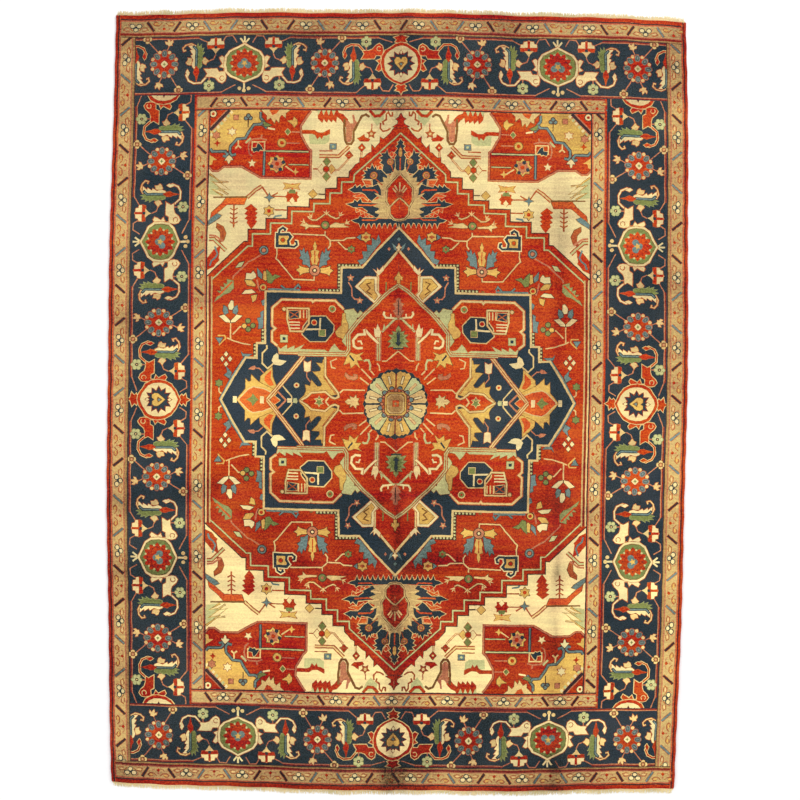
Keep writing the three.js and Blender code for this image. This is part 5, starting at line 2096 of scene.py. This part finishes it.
@dataclass
class Fringe:
    """The short cut warp ends at one end of the rug."""

    material: bpy.types.Material
    end: int
    name: str
    rng: random.Random
    tufts: int = 640
    sides: int = 5
    steps: int = 5
    radius: float = 0.0015

    def build(self) -> bpy.types.Object:
        """Build the ends of the warps, in small bunches of uneven length.

        Returns:
            The piece.
        """
        points, faces = [], []
        for k in range(self.tufts):
            start = FRINGE_HALF_WIDTH * (2 * (k + self.rng.uniform(0.2, 0.8)) / self.tufts - 1)
            for _ in range(self.rng.choice((2, 2, 3, 3))):
                self.add_strand(points, faces, start + self.rng.uniform(-0.25, 0.25))
        nodes = (f"fringe_{self.name}",)
        return finish_piece(f"fringe_ends_{self.name}", points, faces, self.material,
            nodes,
                            smooth=True)

    def add_strand(self, points: list, faces: list, x: float) -> None:
        """Add one yarn that comes out of the strip and lies on the floor.

        Args:
            points, faces: the mesh to add to.
            x: where it starts along the end, in centimetres.
        """
        length = self.rng.uniform(1.0, 2.1) + 0.4 * math.sin(x * 0.21) * self.rng.random()
        lean, curl = self.rng.uniform(-0.5, 0.5), self.rng.uniform(-0.35, 0.35)
        first, sides, steps = len(points), self.sides, self.steps
        for step in range(steps):
            t = step / (steps - 1)
            at_x = x + lean * t * t + curl * math.sin(math.pi * t)
            spot = settle(np.array(at_x), np.array(self.end * (HALF_LENGTH + 0.4 + length * t)))
            radius = self.radius * (1 - 0.5 * t)
            height = 0.0014 + 0.001 * (1 - t) + (0.0015 * math.sin(math.pi * t) if curl > 0.1 else 0)
            for s in range(sides):
                turn = 2 * math.pi * s / sides
                out, up = radius * math.cos(turn), radius * math.sin(turn)
                points.append((spot[0] + out, spot[1], height + up))
        for step in range(steps - 1):
            for s in range(sides):
                a, b = first + step * sides + s, first + step * sides + (s + 1) % sides
                faces.append((a, b, b + sides, a + sides))
        faces.append(tuple(first + s for s in range(sides)))
        faces.append(tuple(first + (steps - 1) * sides + s for s in range(sides)))


@dataclass
class Studio:
    """The plain pale floor, the soft light from above and the camera over the rug."""

    height: float = 7.6
    roll: float = 0.65
    span: float = 3.776
    sensor: float = 36
    aim: tuple[float, float] = (0.0132, 0.0085)
    floor_size: float = 60
    floor_grey: float = 0.95
    daylight: float = 0.86

    def build(self) -> None:
        """Set the stage."""
        self.build_floor()
        self.build_lights()
        self.build_camera()
        scene = bpy.context.scene
        scene.view_settings.view_transform = "Standard"

    def build_floor(self) -> None:
        """Lay a large pale floor."""
        bpy.ops.object.select_all(action="DESELECT")
        bpy.ops.mesh.primitive_plane_add(size=self.floor_size, location=(0, 0, 0))
        floor = bpy.context.object
        floor.name = "floor"
        material = bpy.data.materials.new("floor")
        material.use_nodes = True
        shader = material.node_tree.nodes["Principled BSDF"]
        shader.inputs["Base Color"].default_value = (*[self.floor_grey] * 3, 1)
        shader.inputs["Roughness"].default_value = 0.9
        shader.inputs["Specular IOR Level"].default_value = 0.1
        floor.data.materials.append(material)

    def build_lights(self) -> None:
        """Hang soft lights over the rug."""
        world = bpy.data.worlds.new("room")
        world.use_nodes = True
        sky = world.node_tree.nodes["Background"].inputs
        sky["Color"].default_value = (1, 1, 1, 1)
        sky["Strength"].default_value = self.daylight
        bpy.context.scene.world = world
        lamps = (("key", (2.6, 3.6, 4.6), 2.5, 130), ("fill", (-3.0, -2.6, 5.5), 5.0, 55))
        for name, spot, size, power in lamps:
            lamp = bpy.data.lights.new(name, "AREA")
            lamp.size, lamp.energy = size, power
            light = bpy.data.objects.new(name, lamp)
            light.location = spot
            light.rotation_euler = (-Vector(spot)).to_track_quat("-Z", "Y").to_euler()
            bpy.context.scene.collection.objects.link(light)

    def build_camera(self) -> None:
        """Look straight down on the rug."""
        lens = bpy.data.cameras.new("camera")
        camera = bpy.data.objects.new("camera", lens)
        lens.sensor_width = self.sensor
        lens.lens = self.sensor * self.height / self.span
        camera.location = (*self.aim, self.height)
        camera.rotation_euler = (0, 0, math.radians(self.roll))
        bpy.context.scene.collection.objects.link(camera)
        bpy.context.scene.camera = camera


@dataclass
class Rug:
    """The whole rug."""

    groups: dict[str, bpy.types.NodeTree]
    seed: int = 41

    def build(self) -> None:
        rng = random.Random(self.seed)
        cotton = Thread("foundation cotton", (196, 172, 132), 1500, 1500).make(self.groups)
        web = Thread("web cotton", (248, 224, 168), 2600, 900).make(self.groups)
        loose = Thread("fringe cotton", (252, 230, 176), 2400, 300, 0.0006, 0.4).make(self.groups)
        wrap = Thread("overcast wool", (190, 56, 26), 2200, 60, 0.001).make(self.groups)
        foundation = Foundation(cotton).build()
        going = Pile(WoolPile().make(self.groups), rng).build()
        for side, name in ((-1, "left"), (1, "right")):
            going.append(Selvedge(wrap, side, name).build())
        for end, name in ((1, "top"), (-1, "bottom")):
            going.append(KilimEnd(web, end, name).build())
            going.append(Fringe(loose, end, name, rng).build())


def main() -> None:
    """Build the rug, then the stage."""
    logging.basicConfig(level=logging.INFO, format="%(name)s: %(message)s")
    groups = {"abrash_and_painted_light": NodeGroups.abrash_and_painted_light(), "knots": NodeGroups.knots(), "threads": NodeGroups.threads()}
    Rug(groups).build()
    LOG.info("rug built")
    Studio().build()
    LOG.info("stage set")


if __name__ == "__main__":
    main()
